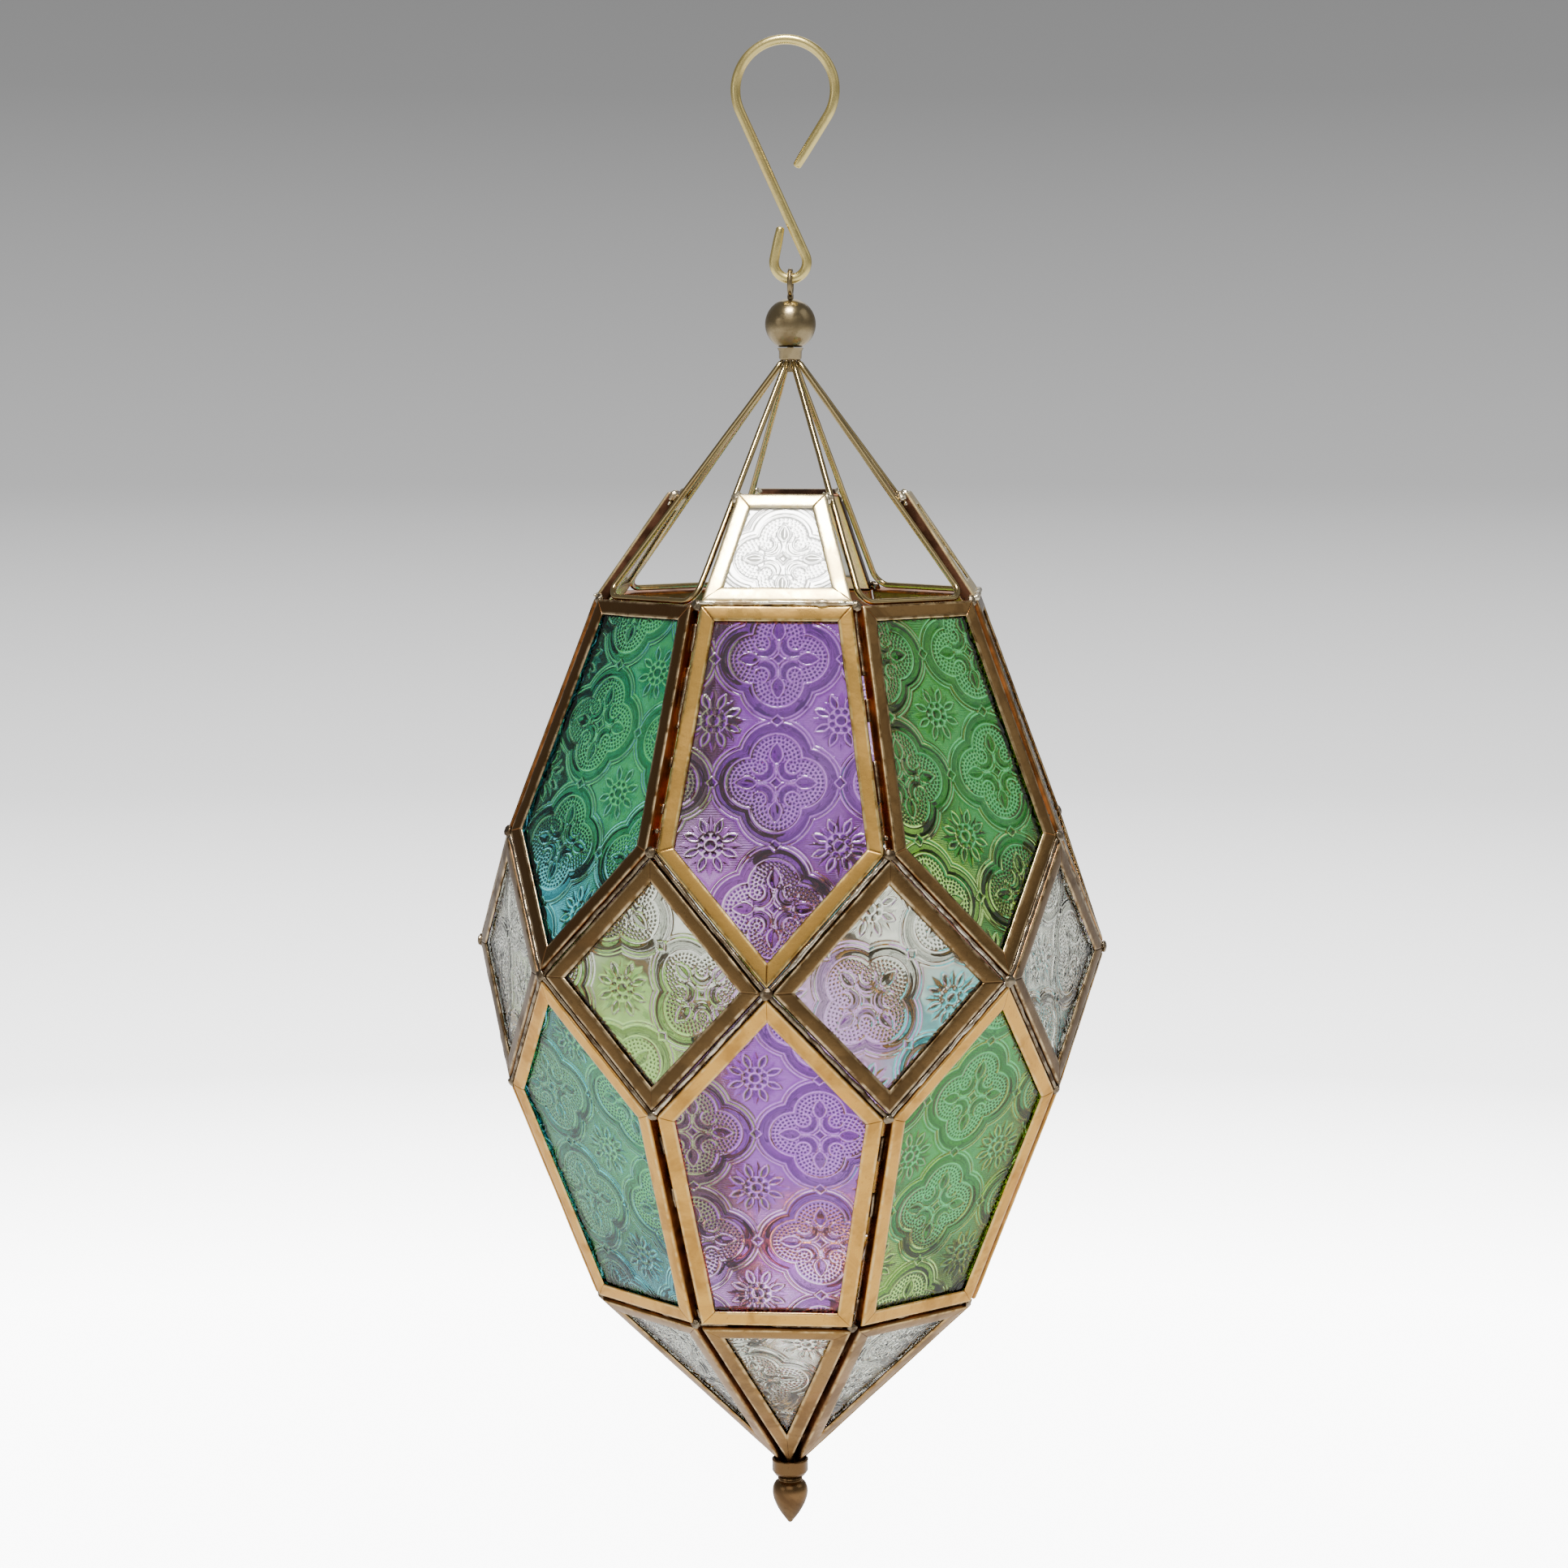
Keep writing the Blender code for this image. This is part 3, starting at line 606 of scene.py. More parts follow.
# The came's section: (inward from the outline, height), in millimetres, from the outer lip round.
SECTION = ((5.62, 4.40), (5.74, 4.58), (5.66, 4.80), (5.30, 4.94), (4.6, 5.03), (3.6, 5.05), (2.4, 5.03),
           (1.35, 4.98), (0.80, 4.92), (0.42, 4.74), (0.22, 4.40), (0.15, 3.80), (0.15, 2.50),
           (0.15, 1.20), (0.22, 0.60), (0.42, 0.26), (0.80, 0.08), (1.35, 0.02), (3.6, -0.02),
           (5.30, 0.06), (5.66, 0.20), (5.74, 0.42), (5.62, 0.60), (5.2, 0.74), (0.95, 0.80),
           (0.95, 4.20), (5.2, 4.26))
WORN_POINTS = (1, 2, 3, 8, 9)  # the lip and the outer fold
LIP_END = 4
FACE_END = 10
SIDE_END = 16


def stations(length):
    """Fractions along one side of a came, close together near its mitres."""
    near = [0.0, 0.25 * MM, 0.8 * MM, 1.8 * MM]
    middle = np.linspace(3.5 * MM, length - 3.5 * MM, max(3, int(length / (3 * MM))))
    return [x / length for x in [*near, *middle, *[length - y for y in near[:0:-1]]]]


def groove_at(k, mitre):
    """How far a point of the section turns to the dark groove colour: full on the side wall, strong in a mitre."""
    if mitre and k < FACE_END - 1:
        return 0.75
    if k == FACE_END:
        return 0.5
    return 1.0 if FACE_END < k < SIDE_END else 0.0


def came(name, plane, mat, slot, node, seed):
    """One folded, mitred frame with soft edges, dents and a slightly uneven lip."""
    section = np.array(SECTION) * MM
    rings = [inset(plane.outline, d) for d in section[:, 0]]
    sides = len(plane.outline)
    verts, wear, groove = [], [], []
    for side in range(sides):
        length = np.linalg.norm(plane.outline[(side + 1) % sides] - plane.outline[side])
        for fraction in stations(length):
            mitre = min(fraction, 1 - fraction) * length < 0.1 * MM
            for k, (_, rise) in enumerate(section):
                flat = rings[k][side] * (1 - fraction) + rings[k][(side + 1) % sides] * fraction
                point = plane.at(flat, rise)
                swell = noise.noise(Vector(point * 75) + Vector((seed, 0, 0)))
                fine = noise.noise(Vector(point * 260) + Vector((0, seed, 0)))
                if k < FACE_END:
                    point = point + plane.n * (0.10 * swell + 0.035 * fine - (0.16 if mitre else 0)) * MM
                if k < LIP_END:
                    middle = plane.outline.mean(0) - flat
                    middle /= np.linalg.norm(middle)
                    point = point + (plane.u * middle[0] + plane.v * middle[1]) * (0.16 * swell * MM)
                verts.append(point)
                wear.append(1.0 if k in WORN_POINTS else 0.0)
                groove.append(groove_at(k, mitre))
    count = len(section)
    rows = len(verts) // count
    faces = grid_faces(rows, count, close_rows=True, close_columns=True)[:, ::-1].tolist()
    add_mesh(name, verts, faces, mat, slot, node, sharp=50, attributes={"wear": wear, "groove": groove})


# ---------------- solder

def blob(centre, normal, radius, flat, seed, subdivisions=3):
    """A lumpy drop of solder."""
    bm = bmesh.new()
    bmesh.ops.create_icosphere(bm, subdivisions=subdivisions, radius=1.0)
    turn = Vector((0, 0, 1)).rotation_difference(Vector(normal)).to_matrix()
    verts = []
    for vertex in bm.verts:
        lump = 1 + 0.28 * noise.noise(vertex.co * 1.3 + Vector((seed, 3.1, 0)))
        lump += 0.10 * noise.noise(vertex.co * 3.7 + Vector((0, seed, 1.7)))
        local = Vector((vertex.co.x, vertex.co.y, vertex.co.z * flat)) * (radius * lump)
        verts.append((Vector(centre) + turn @ local)[:])
    faces = [[v.index for v in face.verts] for face in bm.faces]
    bm.free()
    return np.array(verts), faces


def seam(start, end, radius, seed, spread=0.6, gap=-1.0, step_length=0.9 * MM):
    """Runs of solder along an edge; where the noise falls below gap the run breaks off."""
    count = max(6, int((end - start).length / step_length))
    runs = [[]]
    for i in range(count + 1):
        point = start.lerp(end, i / count)
        wave = noise.noise(point * 90 + Vector((seed, 0, 0)))
        rough = noise.noise(point * 420 + Vector((0, seed, 0)))
        size = radius * max(0.18, 1 + spread * (1.1 * wave + 0.6 * rough))
        drift = [noise.noise(point * 200 + Vector(place)) for place in ((seed, 9, 0), (3, seed, 0), (7, 1, seed))]
        if wave < gap:
            runs.append([])
        else:
            runs[-1].append((point + Vector(drift) * radius * 0.35, size))
    return [tube([p for p, _ in run], [r for _, r in run], sides=10) for run in runs if len(run) > 3]


# ---------------- cage

# The pattern's turn on a pane in degrees, and where a medallion's centre lies, in millimetres from its middle.
PATTERN = {
    "upper_front": (0.3, (1.1, 42.1)),
    "upper_front_left": (-4.1, (-6.2, 16.4)),
    "upper_front_right": (-0.5, (18.1, -0.4)),
    "lower_front": (-0.8, (16.5, 17.7)),
    "lower_front_left": (1.4, (-15.2, 26.6)),
    "lower_front_right": (-3.8, (-1.8, 27.5)),
    "diamond_8": (45.7, (18.9, -1.7)),
    "diamond_1": (42.9, (-7.8, -3.8)),
    "bottom_front": (9.8, (-7.7, -5.1)),
    "crown_front": (0.0, (1.5, -4.0)),
}


def pattern_for(family, side, index):
    """Turn in degrees and shift in millimetres of the pressed pattern on a pane."""
    key = family + "_" + side
    if key in PATTERN:
        return PATTERN[key]
    base = {"diamond": 45.0, "bottom": 20.0}.get(family, 0.0)
    return base + (index * 37 % 11 - 5), (index * 17 % 43, index * 29 % 43)


FAMILY_SLOTS = {"upper": "bronze_brass", "diamond": "bronze_brass", "lower": "golden_brass",
                "bottom": "golden_brass", "crown": "crown_brass"}
# Upper frames that take a painted-light copy of the brass: lit at the front, shaded on the left.
UPPER_PAINTED_LIGHT = {"front": "front", "front_left": "dark", "left": "dark", "back_left": "dark"}


def build_cage():
    """Every pane and its came frame; returns the panes' planes by family and side."""
    jobs = []
    for k, side in enumerate(SIDES):
        tint = SIDE_GLASS[k % 4]
        jobs += [("upper", side, tint), ("diamond", str(k + 1), "clear_glass"), ("lower", side, tint),
                 ("bottom", side, "clear_glass")]
    jobs += [("crown", side, "clear_glass") for side in CROWN_SIDES]
    planes = {}
    for index, (family, side, tint) in enumerate(jobs, 1):
        turn, shift = pattern_for(family, side, index)
        mat = CROWN_GLASS if family == "crown" else GLASS[tint]
        plane = pressed_pane("%s_pane_%s" % (family, side), mat, tint, turn, shift)
        planes[family, side] = plane
        node = "crown_frame_" + side if family == "crown" else family + "_frames"
        metal = BRASS[UPPER_PAINTED_LIGHT.get(side, family) if family == "upper" else family]
        came("came_%s_%s" % (family, side), plane, metal, FAMILY_SLOTS[family], node, index * 3.7)
    return planes


def corner(plane, u_sign, rank):
    """An outline corner on the inner surface: rank 0 is the highest, on the side of u_sign."""
    points = [p for p in plane.outline if u_sign == 0 or p[0] * u_sign > 1 * MM]
    points = sorted(points, key=lambda p: -p[1])
    return Vector(plane.at(points[rank], 0.0))


def outward(first, second):
    return Vector((Vector(first.n) + Vector(second.n))).normalized()


def build_solder(planes):
    """Seams along the joints, drops at the corners, and the bright solder round the crown."""
    rim_runs, seams, grains, drops, crown_runs = [], [], [], [], []

    def drop(place, normal, radius, flat, seed, subdivisions=3):
        drops.append(blob(place, normal, radius * MM, flat, seed, subdivisions))

    for k, side in enumerate(SIDES):
        following = SIDES[(k + 1) % 8]
        upper, lower, bottom = (planes[family, side] for family in ("upper", "lower", "bottom"))
        diamond = planes["diamond", str(k + 1)]
        before = planes["diamond", str((k - 1) % 8 + 1)]
        rim_left, rim_right = corner(upper, -1, 0), corner(upper, 1, 0)
        waist_left, waist_right = corner(upper, -1, 1), corner(upper, 1, 1)
        mid = corner(upper, 0, 4)
        low_left, low_right = corner(lower, -1, 0), corner(lower, 1, 0)
        ring_left, ring_right = corner(lower, -1, 1), corner(lower, 1, 1)
        apex = corner(bottom, 0, 2)
        edge_out = outward(upper, planes["upper", following])
        low_out = outward(lower, planes["lower", following])
        base_out = outward(bottom, planes["bottom", following])
        # Sparse lumps deep in the grooves between neighbouring frames.
        for start, end, out, size, seed, gap in ((rim_right, waist_right, edge_out, 0.7, 1.1, 0.10),
                                                 (low_right, ring_right, low_out, 0.6, 5.3, 0.14),
                                                 (ring_right, ring_right.lerp(apex, 0.93), base_out, 0.6, 7.7, 0.14)):
            seams += seam(start + out * 1.4 * MM, end + out * 1.4 * MM, size * MM, k + seed, gap=gap)
        # Runs that fill the joints along the diamonds.
        for other, sign in ((diamond, 1), (before, -1)):
            tip = waist_right if sign > 0 else waist_left
            low_tip = low_right if sign > 0 else low_left
            for panel, start, seed in ((upper, tip, 11.3), (lower, low_tip, 17.9)):
                side_out = outward(panel, other) * 3.75 * MM
                grainy = side == "front" and (panel is upper) == (sign > 0) or side == "front_right" and sign < 0
                runs = grains if grainy else seams
                runs += seam(start + side_out, mid + side_out, 0.82 * MM, k * 2 + sign + seed,
                             spread=0.45 if grainy else 0.18, step_length=0.5 * MM)
        ring_out = outward(lower, bottom)
        seams += seam(ring_left + ring_out * 3.0 * MM, ring_right + ring_out * 3.0 * MM, 0.6 * MM, k + 23.1, gap=0.0)
        # Drops at the corners, and a bead just above each waist corner.
        middle_out = upper.n + lower.n
        drop(waist_right + edge_out * 4.6 * MM, edge_out, 2.0, 0.6, k + 0.3)
        drop(waist_right.lerp(rim_right, 0.07 + 0.02 * (k % 3)) + edge_out * 3.0 * MM, edge_out, 1.0, 0.7, k + 9.3, 2)
        drop(low_right + low_out * 4.2 * MM, low_out, 1.8, 0.55, k + 2.3)
        drop(mid + Vector(middle_out).normalized() * 4.6 * MM, middle_out, 2.1, 0.5, k + 4.9)
        drop(ring_right + ring_out * 3.6 * MM, low_out, 1.7, 0.6, k + 6.1)
        drop(rim_right + edge_out * 3.4 * MM, edge_out, 2.0, 0.6, k + 8.8)
        if side not in CROWN_SIDES:
            continue
        # The crown's base seam and its upper corners.
        crown = planes["crown", side]
        out = outward(upper, crown)
        for level, size, seed in ((4.9, 0.9, 31.0), (5.3, 0.55, 37.0), (4.4, 0.8, 41.0)):
            rim_runs += seam(rim_left + out * level * MM, rim_right + out * level * MM, size * MM, k + seed,
                             spread=0.9, gap=-0.32)
        for sign in (-1, 1):
            top = corner(crown, sign, 0)
            for level, z, size, flat, seed, detail in ((2.6, -0.6, 2.2, 0.75, 51, 3), (4.4, -4, 1.1, 0.7, 57, 2)):
                place = top + Vector(crown.n) * level * MM + Vector((0, 0, z * MM))
                crown_runs.append(blob(place, crown.n, size * MM, flat, k + sign + seed, detail))
    for name, parts, mat, slot in (("seams", seams, SOLDER, "bronze_brass"),
                                   ("grains", grains, GRAIN_SOLDER, "bronze_brass"),
                                   ("drops", drops, SOLDER, "bronze_brass"),
                                   ("crown_base", rim_runs, BRIGHT_SOLDER, "crown_brass"),
                                   ("crown_corners", crown_runs, BRIGHT_SOLDER, "crown_brass")):
        add_mesh("solder_" + name, *merged(parts), mat, slot)


# ---------------- hanging gear

NECK_SPIGOT = 4 * MM  # the thin end of the neck, below its cup
WIRE_R = 1.1 * MM
WIRE_HALF = 24.2 * MM
WIRE_TOP_R = 3.6 * MM
WIRE_BEND_R = 5.0 * MM


def arc(x, z, radius, start, end, count):
    """Points (x, z) on an arc, angles in degrees from +X towards +Z."""
    angles = [math.radians(start + (end - start) * i / count) for i in range(count + 1)]
    return [(x + radius * math.cos(t), z + radius * math.sin(t)) for t in angles]


def between(first, last, count):
    """Points (x, z) on a straight line, both ends included."""
    return [(first[0] + (last[0] - first[0]) * t, first[1] + (last[1] - first[1]) * t)
            for t in np.linspace(0, 1, count)]


def build_hanger_wires(planes):
    """One bent wire across each open bay: down one crown panel, along the rim, up the next."""
    neck_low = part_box("neck")[0].z + NECK_SPIGOT
    for side in BAY_SIDES:
        plane = planes["upper", side]
        normal = Vector(plane.n)
        along = Vector(plane.u)
        rim = (corner(plane, -1, 0) + corner(plane, 1, 0)) / 2
        base = rim + normal * (CAME_DEPTH / 2) + normal.cross(along) * (WIRE_R + GAP)
        lean = math.atan2(base.xy.length, neck_low - base.z)
        end_z = neck_low - GAP - WIRE_R * math.sin(lean)
        half_top = WIRE_TOP_R * math.sin(STEP / 2)
        radial = Vector((base.x, base.y, 0)).normalized()
        top = radial * (WIRE_TOP_R * math.cos(STEP / 2)) + Vector((0, 0, end_z))
        slope = (top - base).normalized()
        length = (top - base).length
        lean_in = math.atan2(WIRE_HALF - half_top, length)
        centre = WIRE_HALF - WIRE_BEND_R * math.tan((math.pi / 2 + lean_in) / 2)
        bend = arc(centre, WIRE_BEND_R, WIRE_BEND_R, -90, math.degrees(lean_in), 12)
        right = bend + between(bend[-1], (half_top, length), 30)[1:]
        left = [(-u, v) for u, v in reversed(right)]
        flat = left + [(x, 0.0) for x in np.linspace(-centre, centre, 10)[1:-1]] + right
        points, radii = [], []
        for u, v in flat:
            point = base + along * u + slope * v
            point += normal * (0.12 * MM * noise.noise(point * 70))
            points.append(point)
            radii.append(WIRE_R * (1 + 0.03 * noise.noise(point * 300)))
        add_mesh("hanger_wire_shaped_" + side, *tube(points, radii), WIRE_BRASS, "crown_brass",
                 "hanger_wire_" + side)


def build_hook():
    """The S-hook: a large open loop above and a small one below, one continuous wire."""
    wire_r, loop_r, eye_r = 1.75 * MM, 17.5 * MM, 5.8 * MM
    pitch, arm, tail = 60 * MM, 19.9 * MM, 10.7 * MM
    arm_angle, lower_end = -32, -191.3
    loop_x = -1.9 * MM
    loop_z = -math.sqrt((loop_r - wire_r) ** 2 - loop_x ** 2)
    eye_z = loop_z - pitch
    reach = math.hypot(loop_r, arm)
    tip_angle = math.radians(arm_angle - math.degrees(math.acos(loop_r / reach)))
    tip = (loop_x + reach * math.cos(tip_angle), loop_z + reach * math.sin(tip_angle))
    cross = math.degrees(math.acos((loop_r + eye_r) / math.hypot(loop_x, pitch)))
    lean = math.degrees(math.atan2(-loop_x, pitch))
    upper = arc(loop_x, loop_z, loop_r, arm_angle, 270 + lean - cross, 64)
    lower = arc(0, eye_z, eye_r, 90 + lean - cross, lower_end, 40)
    rise = math.radians(lower_end)
    end = (lower[-1][0] + tail * math.sin(rise), lower[-1][1] - tail * math.cos(rise))
    path = between(tip, upper[0], 12)[:-1] + upper + between(upper[-1], lower[0], 24)[1:-1] + lower
    path += between(lower[-1], end, 8)[1:-1] + [end]
    points = [Vector((x, 0, z)) for x, z in path]
    radii = [wire_r * (1 + 0.02 * noise.noise(p * 180)) for p in points]
    for i in range(3):
        radii[i] *= 0.86 + 0.05 * i
        radii[-1 - i] *= 0.86 + 0.05 * i
    add_mesh("s_hook_wire", *tube(points, radii, sides=28), HOOK_BRASS, "hook_brass", "s_hook", body="hook")


def turned(rows):
    """A profile in metres from rows of (radius, millimetres to add, height, millimetres to add)."""
    return [(r + dr * MM, z + dz * MM) for r, dr, z, dz in rows]


def half_width(low, high):
    return (high.x - low.x) / 2


AXIS_R = 0.02 * MM  # a turned solid's poles stop this far from its axis


def build_eye():
    """The wire ring on the hook, and the stem and head that hold it in the ball."""
    low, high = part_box("eye")
    ring_r, wire_r, stem_r = 4.3 * MM, 0.9 * MM, 1.1 * MM
    centre_z = high.z - wire_r - ring_r
    ring = [(0, y, centre_z + z) for y, z in arc(0, 0, ring_r, 0, 352.5, 47)]
    stem_top = centre_z - ring_r + 0.4 * MM
    head = low.z + 1.2 * MM
    profile = [(AXIS_R, stem_top), (stem_r * 0.8, stem_top), (stem_r, stem_top - 0.3 * MM)]
    profile += [(stem_r, stem_top + (head - stem_top) * t) for t in (0.3, 0.6, 1.0)]
    profile += [(2.3 * MM, head), (2.3 * MM, low.z), (AXIS_R, low.z)]
    parts = [tube(ring, [wire_r] * len(ring), closed=True), lathe(profile[::-1], 32)]
    add_mesh("eye_ring_and_stem", *merged(parts), BALL_BRASS, "ball_brass", "eye", body="eye", sharp=40)


def build_ball_and_neck():
    low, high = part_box("ball")
    radius = half_width(low, high)
    bore = 1.4 * MM
    centre = high.z - math.sqrt(radius ** 2 - bore ** 2)
    start, end = (math.degrees(math.acos(r / radius)) for r in (bore, 4 * MM))
    profile = arc(0, centre, radius, start, -end, 40)
    profile = [(bore, centre), *profile, (bore, profile[-1][1])]
    add_mesh("ball_scuffed", *lathe(profile[::-1], 96, wobble=0.01, ends="joined"), BALL_BRASS, "ball_brass",
             "ball", sharp=50)

    low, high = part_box("neck")
    radius = half_width(low, high)
    top, bottom = high.z, low.z + NECK_SPIGOT
    profile = turned(((0, 0.02, low.z, 0), (0, 1.2, low.z, 0), (0, 1.7, bottom, 0), (radius * 0.7, 0, bottom, 0),
                      (radius * 0.9, 0, bottom, 0.25), (radius, 0, bottom, 0.9), (radius * 1.02, 0, top, -1.2),
                      (radius * 1.12, 0, top, -0.5), (radius * 1.16, 0, top, 0), (0, 2.6, top, 0),
                      (0, 2.6, top, -2.2), (0, 0.02, top, -2.2)))
    add_mesh("neck_cup", *lathe(profile, wobble=0.03), BALL_BRASS, "ball_brass", "neck", sharp=40)
    lumps = []
    for i in range(8):
        angle = STEP * (i + 0.5)
        radial = Vector((math.sin(angle), -math.cos(angle), 0))
        place = radial * 3.2 * MM + Vector((0, 0, bottom - 0.6 * MM))
        lumps.append(blob(place, radial - Vector((0, 0, 0.6)), 0.95 * MM, 0.8, i + 70.0, 2))
    add_mesh("solder_neck", *merged(lumps), BALL_BRASS, "ball_brass")


# ---------------- bottom fittings

def build_bottom_fittings():
    low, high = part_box("base_cup")
    r, top, bottom = half_width(low, high), high.z, low.z
    profile = turned(((0, 1.8, bottom, 0), (r, -2.2, bottom, 0), (r, -1.5, bottom, 0.15), (r, -0.9, bottom, 0.9),
                      (r, -0.5, bottom, 1.5), (r, -0.15, bottom, 2.0), (r, -0.15, top, -1.1), (r, 0, top, -0.8),
                      (r, 0, top, -0.25), (r, -0.25, top, 0), (r, -0.7, top, 0), (r, -0.8, top, -0.3),
                      (r, -0.8, bottom, 4.4), (r, -1.6, bottom, 3.6), (0, 1.8, bottom, 3.5)))
    add_mesh("base_cup_turned", *lathe(profile, 72, wobble=0.02, ends="joined"), BRASS["cup"], "golden_brass",
             "base_cup", sharp=45)

    low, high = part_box("finial")
    r, top, tip = half_width(low, high), high.z, low.z
    shoulder, nose = 4.2 * MM, 0.9 * MM
    profile = turned(((0, 0.02, top, 0), (0, 3.4, top, 0), (0, 4.3, top, -0.2), (0, 4.5, top, -0.7),
                      (0, 4.1, top, -1.1), (shoulder, 0, top, -1.5)))
    for i in range(1, 9):
        t = math.radians(90 * i / 8)
        profile.append((shoulder + (r - shoulder) * math.sin(t),
                        top - 1.5 * MM - 0.23 * (top - tip) * (1 - math.cos(t))))
    start = profile[-1][1]
    profile += [(nose + (r - nose) * (1 - t ** 1.75), start + (tip + 0.6 * MM - start) * t)
                for t in (i / 21 for i in range(1, 21))]
    profile += turned(((nose, 0, tip, 0.45), (0, 0.55, tip, 0.12), (0, 0.02, tip, 0)))
    add_mesh("finial_bud", *lathe(profile[::-1], 72, wobble=0.012), FINIAL_BRASS, "golden_brass", "finial", sharp=45)

    low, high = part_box("candle_socket")
    r, top, bottom = half_width(low, high), high.z, low.z
    profile = turned(((0, 1.8, bottom, 0), (r, -0.5, bottom, 0), (r, 0, bottom, 0.5), (r, 0, top, -0.5),
                      (r, 0, top, -0.15), (r, -0.3, top, 0), (r, -0.7, top, -0.15), (r, -0.8, top, -0.6),
                      (r, -0.8, bottom, 3.3), (r, -1.1, bottom, 3.0), (0, 3.4, bottom, 3.0), (0, 3.3, bottom, 2.8),
                      (0, 3.3, bottom, 1.2), (0, 1.8, bottom, 1.2)))
    add_mesh("candle_socket_turned", *lathe(profile, 72, wobble=0.02, ends="joined"), BRASS["lower"],
             "golden_brass", "candle_socket", sharp=40)
    stud = NODES["tie_stud"]
    stud.data.materials.clear()
    stud.data.materials.append(BRASS["bottom"])


# ---------------- studio

FLOOR_Z = -1.85
WALL_R = 3.6
WALL_TOP = 2.6
# The paper's brightness by height, from the floor up.
SHADE_SPAN = 5.0
SHADES = ((-1.85, 1.0), (-1.30, 1.0), (-1.03, 0.40), (-0.647, 0.164), (-0.235, 0.057), (0.1, 0.0385),
          (0.30, 0.0262), (0.5, 0.023), (3.15, 0.021))


def build_studio():
    """A closed, seamless round backdrop, darker above and pale below, with a pale floor."""
    quarter = [math.radians(90 * i / 12) for i in range(1, 13)]
    profile = [(0.02, FLOOR_Z), (1.2, FLOOR_Z), (2.4, FLOOR_Z)]
    profile += [(2.4 + 1.2 * math.sin(t), FLOOR_Z + 1.2 * (1 - math.cos(t))) for t in quarter]
    profile += [(WALL_R, -0.2), (WALL_R, 0.6), (WALL_R, 1.6), (WALL_R, WALL_TOP)]
    profile += [(0.02 + (WALL_R - 0.02) * math.cos(t), WALL_TOP + 1.8 * math.sin(t)) for t in quarter]
    verts, faces = lathe(profile, 96, ends="open")
    mesh = bpy.data.meshes.new("backdrop")
    mesh.from_pydata(verts.tolist(), [], faces)
    mesh.polygons.foreach_set("use_smooth", [True] * len(mesh.polygons))
    mesh.update()
    s = Shader("backdrop paper")
    height = s.node("SeparateXYZ", Vector=s.coords()).outputs["Z"]
    place = s.node("MapRange", Value=height, From_Min=FLOOR_Z, From_Max=FLOOR_Z + SHADE_SPAN).outputs[0]
    shade = s.node("ValToRGB", Fac=place)
    ramp = shade.color_ramp
    while len(ramp.elements) < len(SHADES):
        ramp.elements.new(0.5)
    for element, (z, value) in zip(ramp.elements, SHADES):
        element.position = (z - FLOOR_Z) / SHADE_SPAN
        element.color = (value, value, value, 1)
    level = s.node("RGBToBW", Color=shade.outputs[0]).outputs[0]
    path = s.node("LightPath").outputs
    seen, passed = path["Is Camera Ray"], path["Is Transmission Ray"]
    through = s.times(s.math("POWER", level, 0.3), 2.6)
    around = s.times(s.math("POWER", level, 0.5), 1.35)
    unseen = s.math("ADD", s.times(through, passed), s.times(around, s.math("SUBTRACT", 1.0, passed)))
    strength = s.math("ADD", s.times(unseen, s.math("SUBTRACT", 1.0, seen)), s.times(s.times(level, 10.0), seen))
    mesh.materials.append(s.finish(Base_Color=(0.04, 0.04, 0.04, 1), Specular_IOR_Level=0.0, Roughness=1.0,
                                   Emission_Color=(1.0, 1.0, 1.005, 1), Emission_Strength=strength))
    backdrop = bpy.data.objects.new("backdrop", mesh)
    bpy.context.scene.collection.objects.link(backdrop)
    world = bpy.data.worlds.new("studio")
    bpy.context.scene.world = world
    world.use_nodes = True
    sky = world.node_tree.nodes["Background"].inputs
    sky["Color"].default_value = (0.6, 0.61, 0.63, 1)
    sky["Strength"].default_value = 0.6


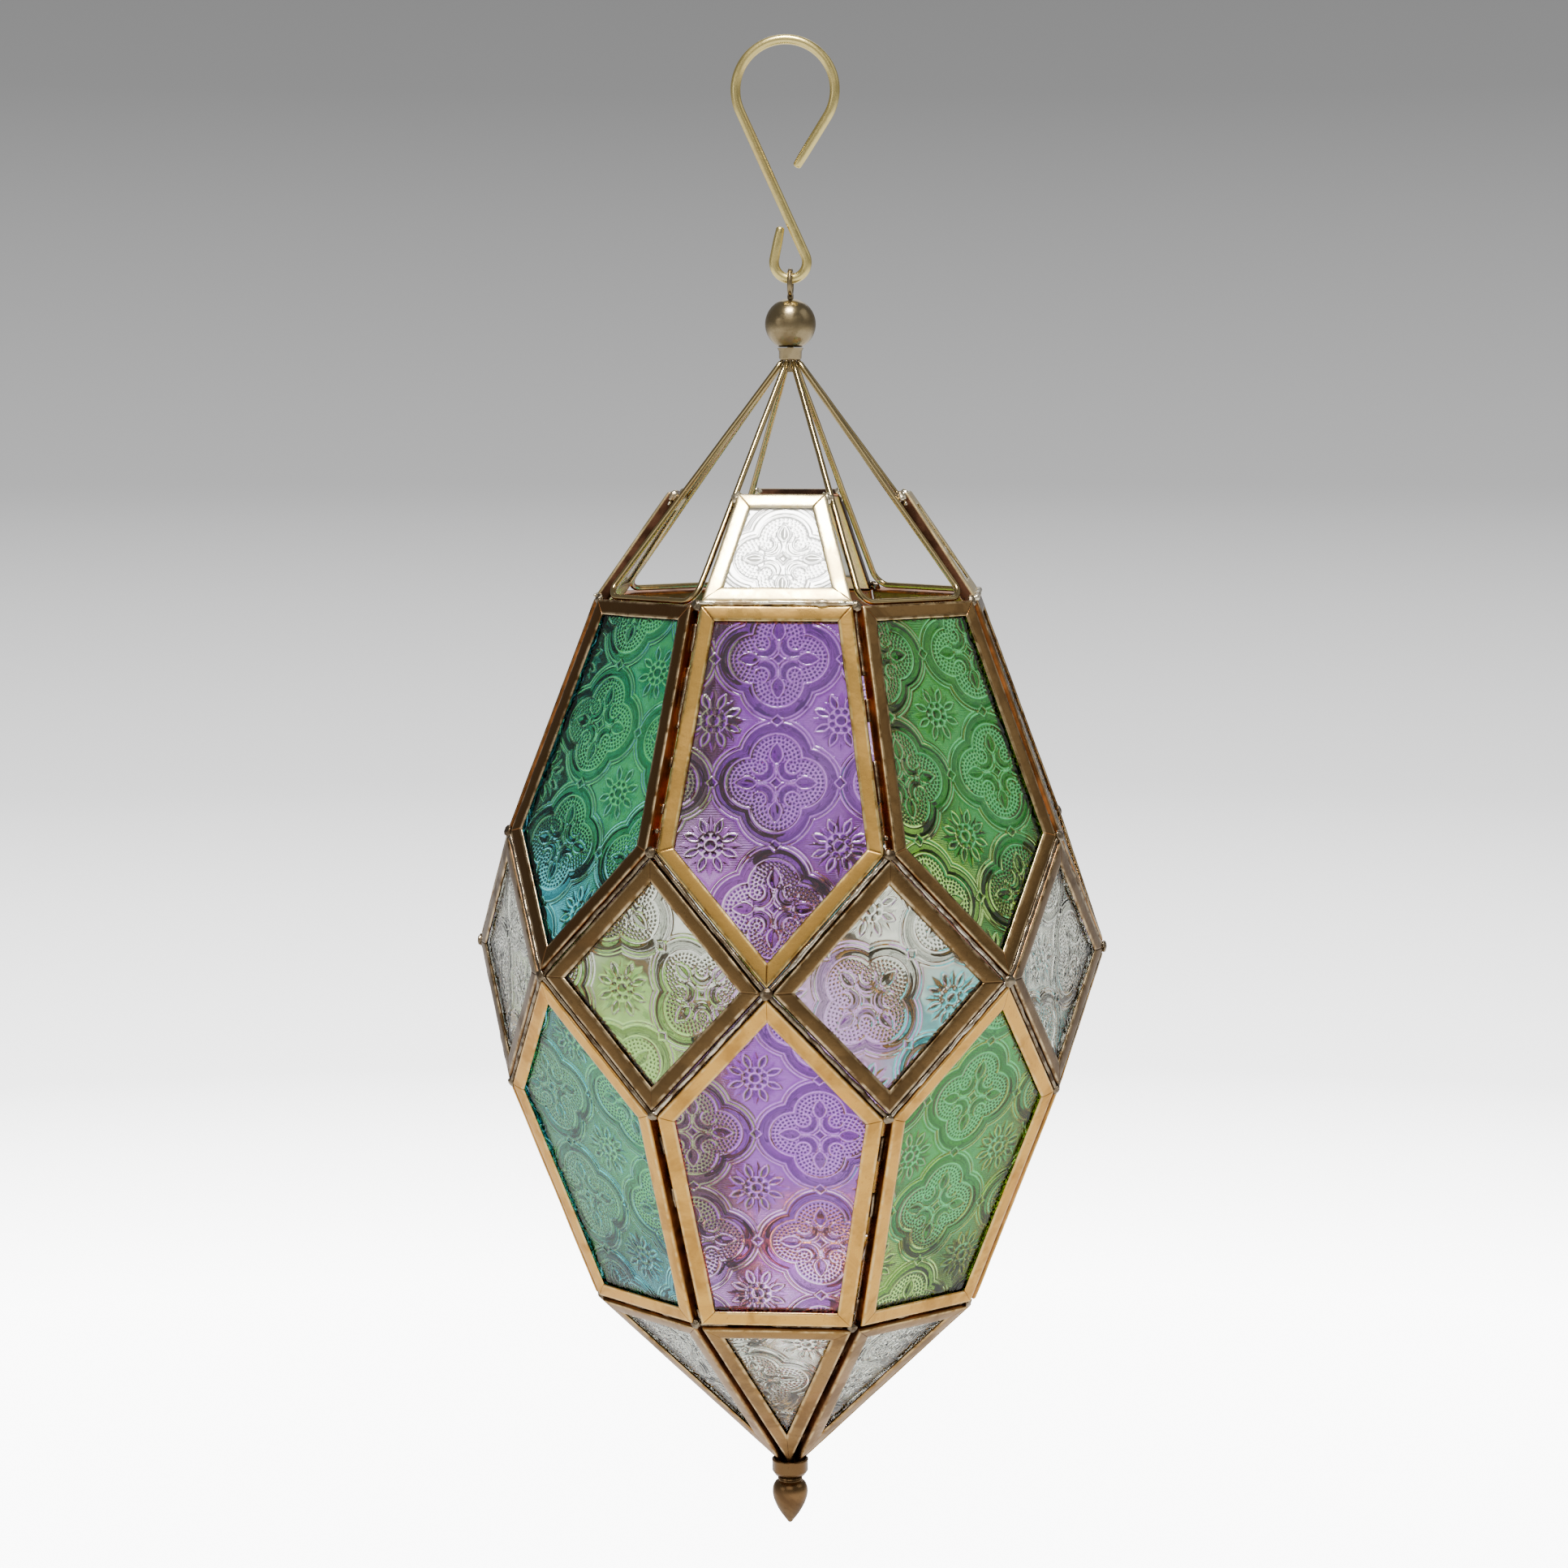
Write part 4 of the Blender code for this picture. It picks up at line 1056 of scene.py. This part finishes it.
def direction(azimuth, elevation):
    """Unit vector at an azimuth in degrees, from the front towards +X, and an elevation."""
    a, e = math.radians(azimuth), math.radians(elevation)
    return Vector((math.sin(a) * math.cos(e), -math.cos(a) * math.cos(e), math.sin(e)))


def aimed(name, data, location, back):
    """Add a light or a camera that looks away from the direction back."""
    obj = bpy.data.objects.new(name, data)
    obj.location = location
    obj.rotation_mode = "QUATERNION"
    obj.rotation_quaternion = back.to_track_quat("Z", "Y")
    bpy.context.scene.collection.objects.link(obj)
    return obj


# Soft boxes: name, azimuth, elevation, distance, size, power, colour.
LIGHTS = (("overhead", -4, 66, 2.7, 0.75, 125, (1.0, 0.985, 0.96)),
          ("front high", -2, 36, 3.0, 1.9, 10.5, (1.0, 0.97, 0.92)),
          ("left soft", -50, 14, 3.0, 1.2, 5, (1, 1, 1)),
          ("right soft", 88, 36, 3.0, 1.8, 6, (1, 1, 1)),
          ("behind soft", 180, 35, 3.0, 1.6, 10, (1, 1, 1)))
LIGHT_TARGET = Vector((0, 0, -0.27))


def build_lights():
    for name, azimuth, elevation, distance, size, power, color in LIGHTS:
        back = direction(azimuth, elevation)
        data = bpy.data.lights.new(name, "AREA")
        data.size = size
        data.energy = power
        data.color = color
        aimed(name, data, LIGHT_TARGET + back * distance, back)


# Camera: in front and slightly to the right, level with the neck, tilted a little down.
CAMERA_AZIMUTH = 4.12
CAMERA_DISTANCE = 1.2509
CAMERA_SIDE = -0.00227
CAMERA_Z = -0.1268
CAMERA_PITCH = 6.123
CAMERA_LENS = 80.48


def build_camera():
    a = math.radians(CAMERA_AZIMUTH)
    right = Vector((math.cos(a), math.sin(a), 0))
    data = bpy.data.cameras.new("camera")
    data.lens = CAMERA_LENS
    data.sensor_width = 36
    data.clip_start = 0.01
    place = direction(CAMERA_AZIMUTH, 0) * CAMERA_DISTANCE + right * CAMERA_SIDE + Vector((0, 0, CAMERA_Z))
    bpy.context.scene.camera = aimed("camera", data, place, direction(CAMERA_AZIMUTH, CAMERA_PITCH))


build_camera()
build_studio()
build_lights()
PLANES = build_cage()
build_solder(PLANES)
build_hanger_wires(PLANES)
build_hook()
build_eye()
build_ball_and_neck()
build_bottom_fittings()
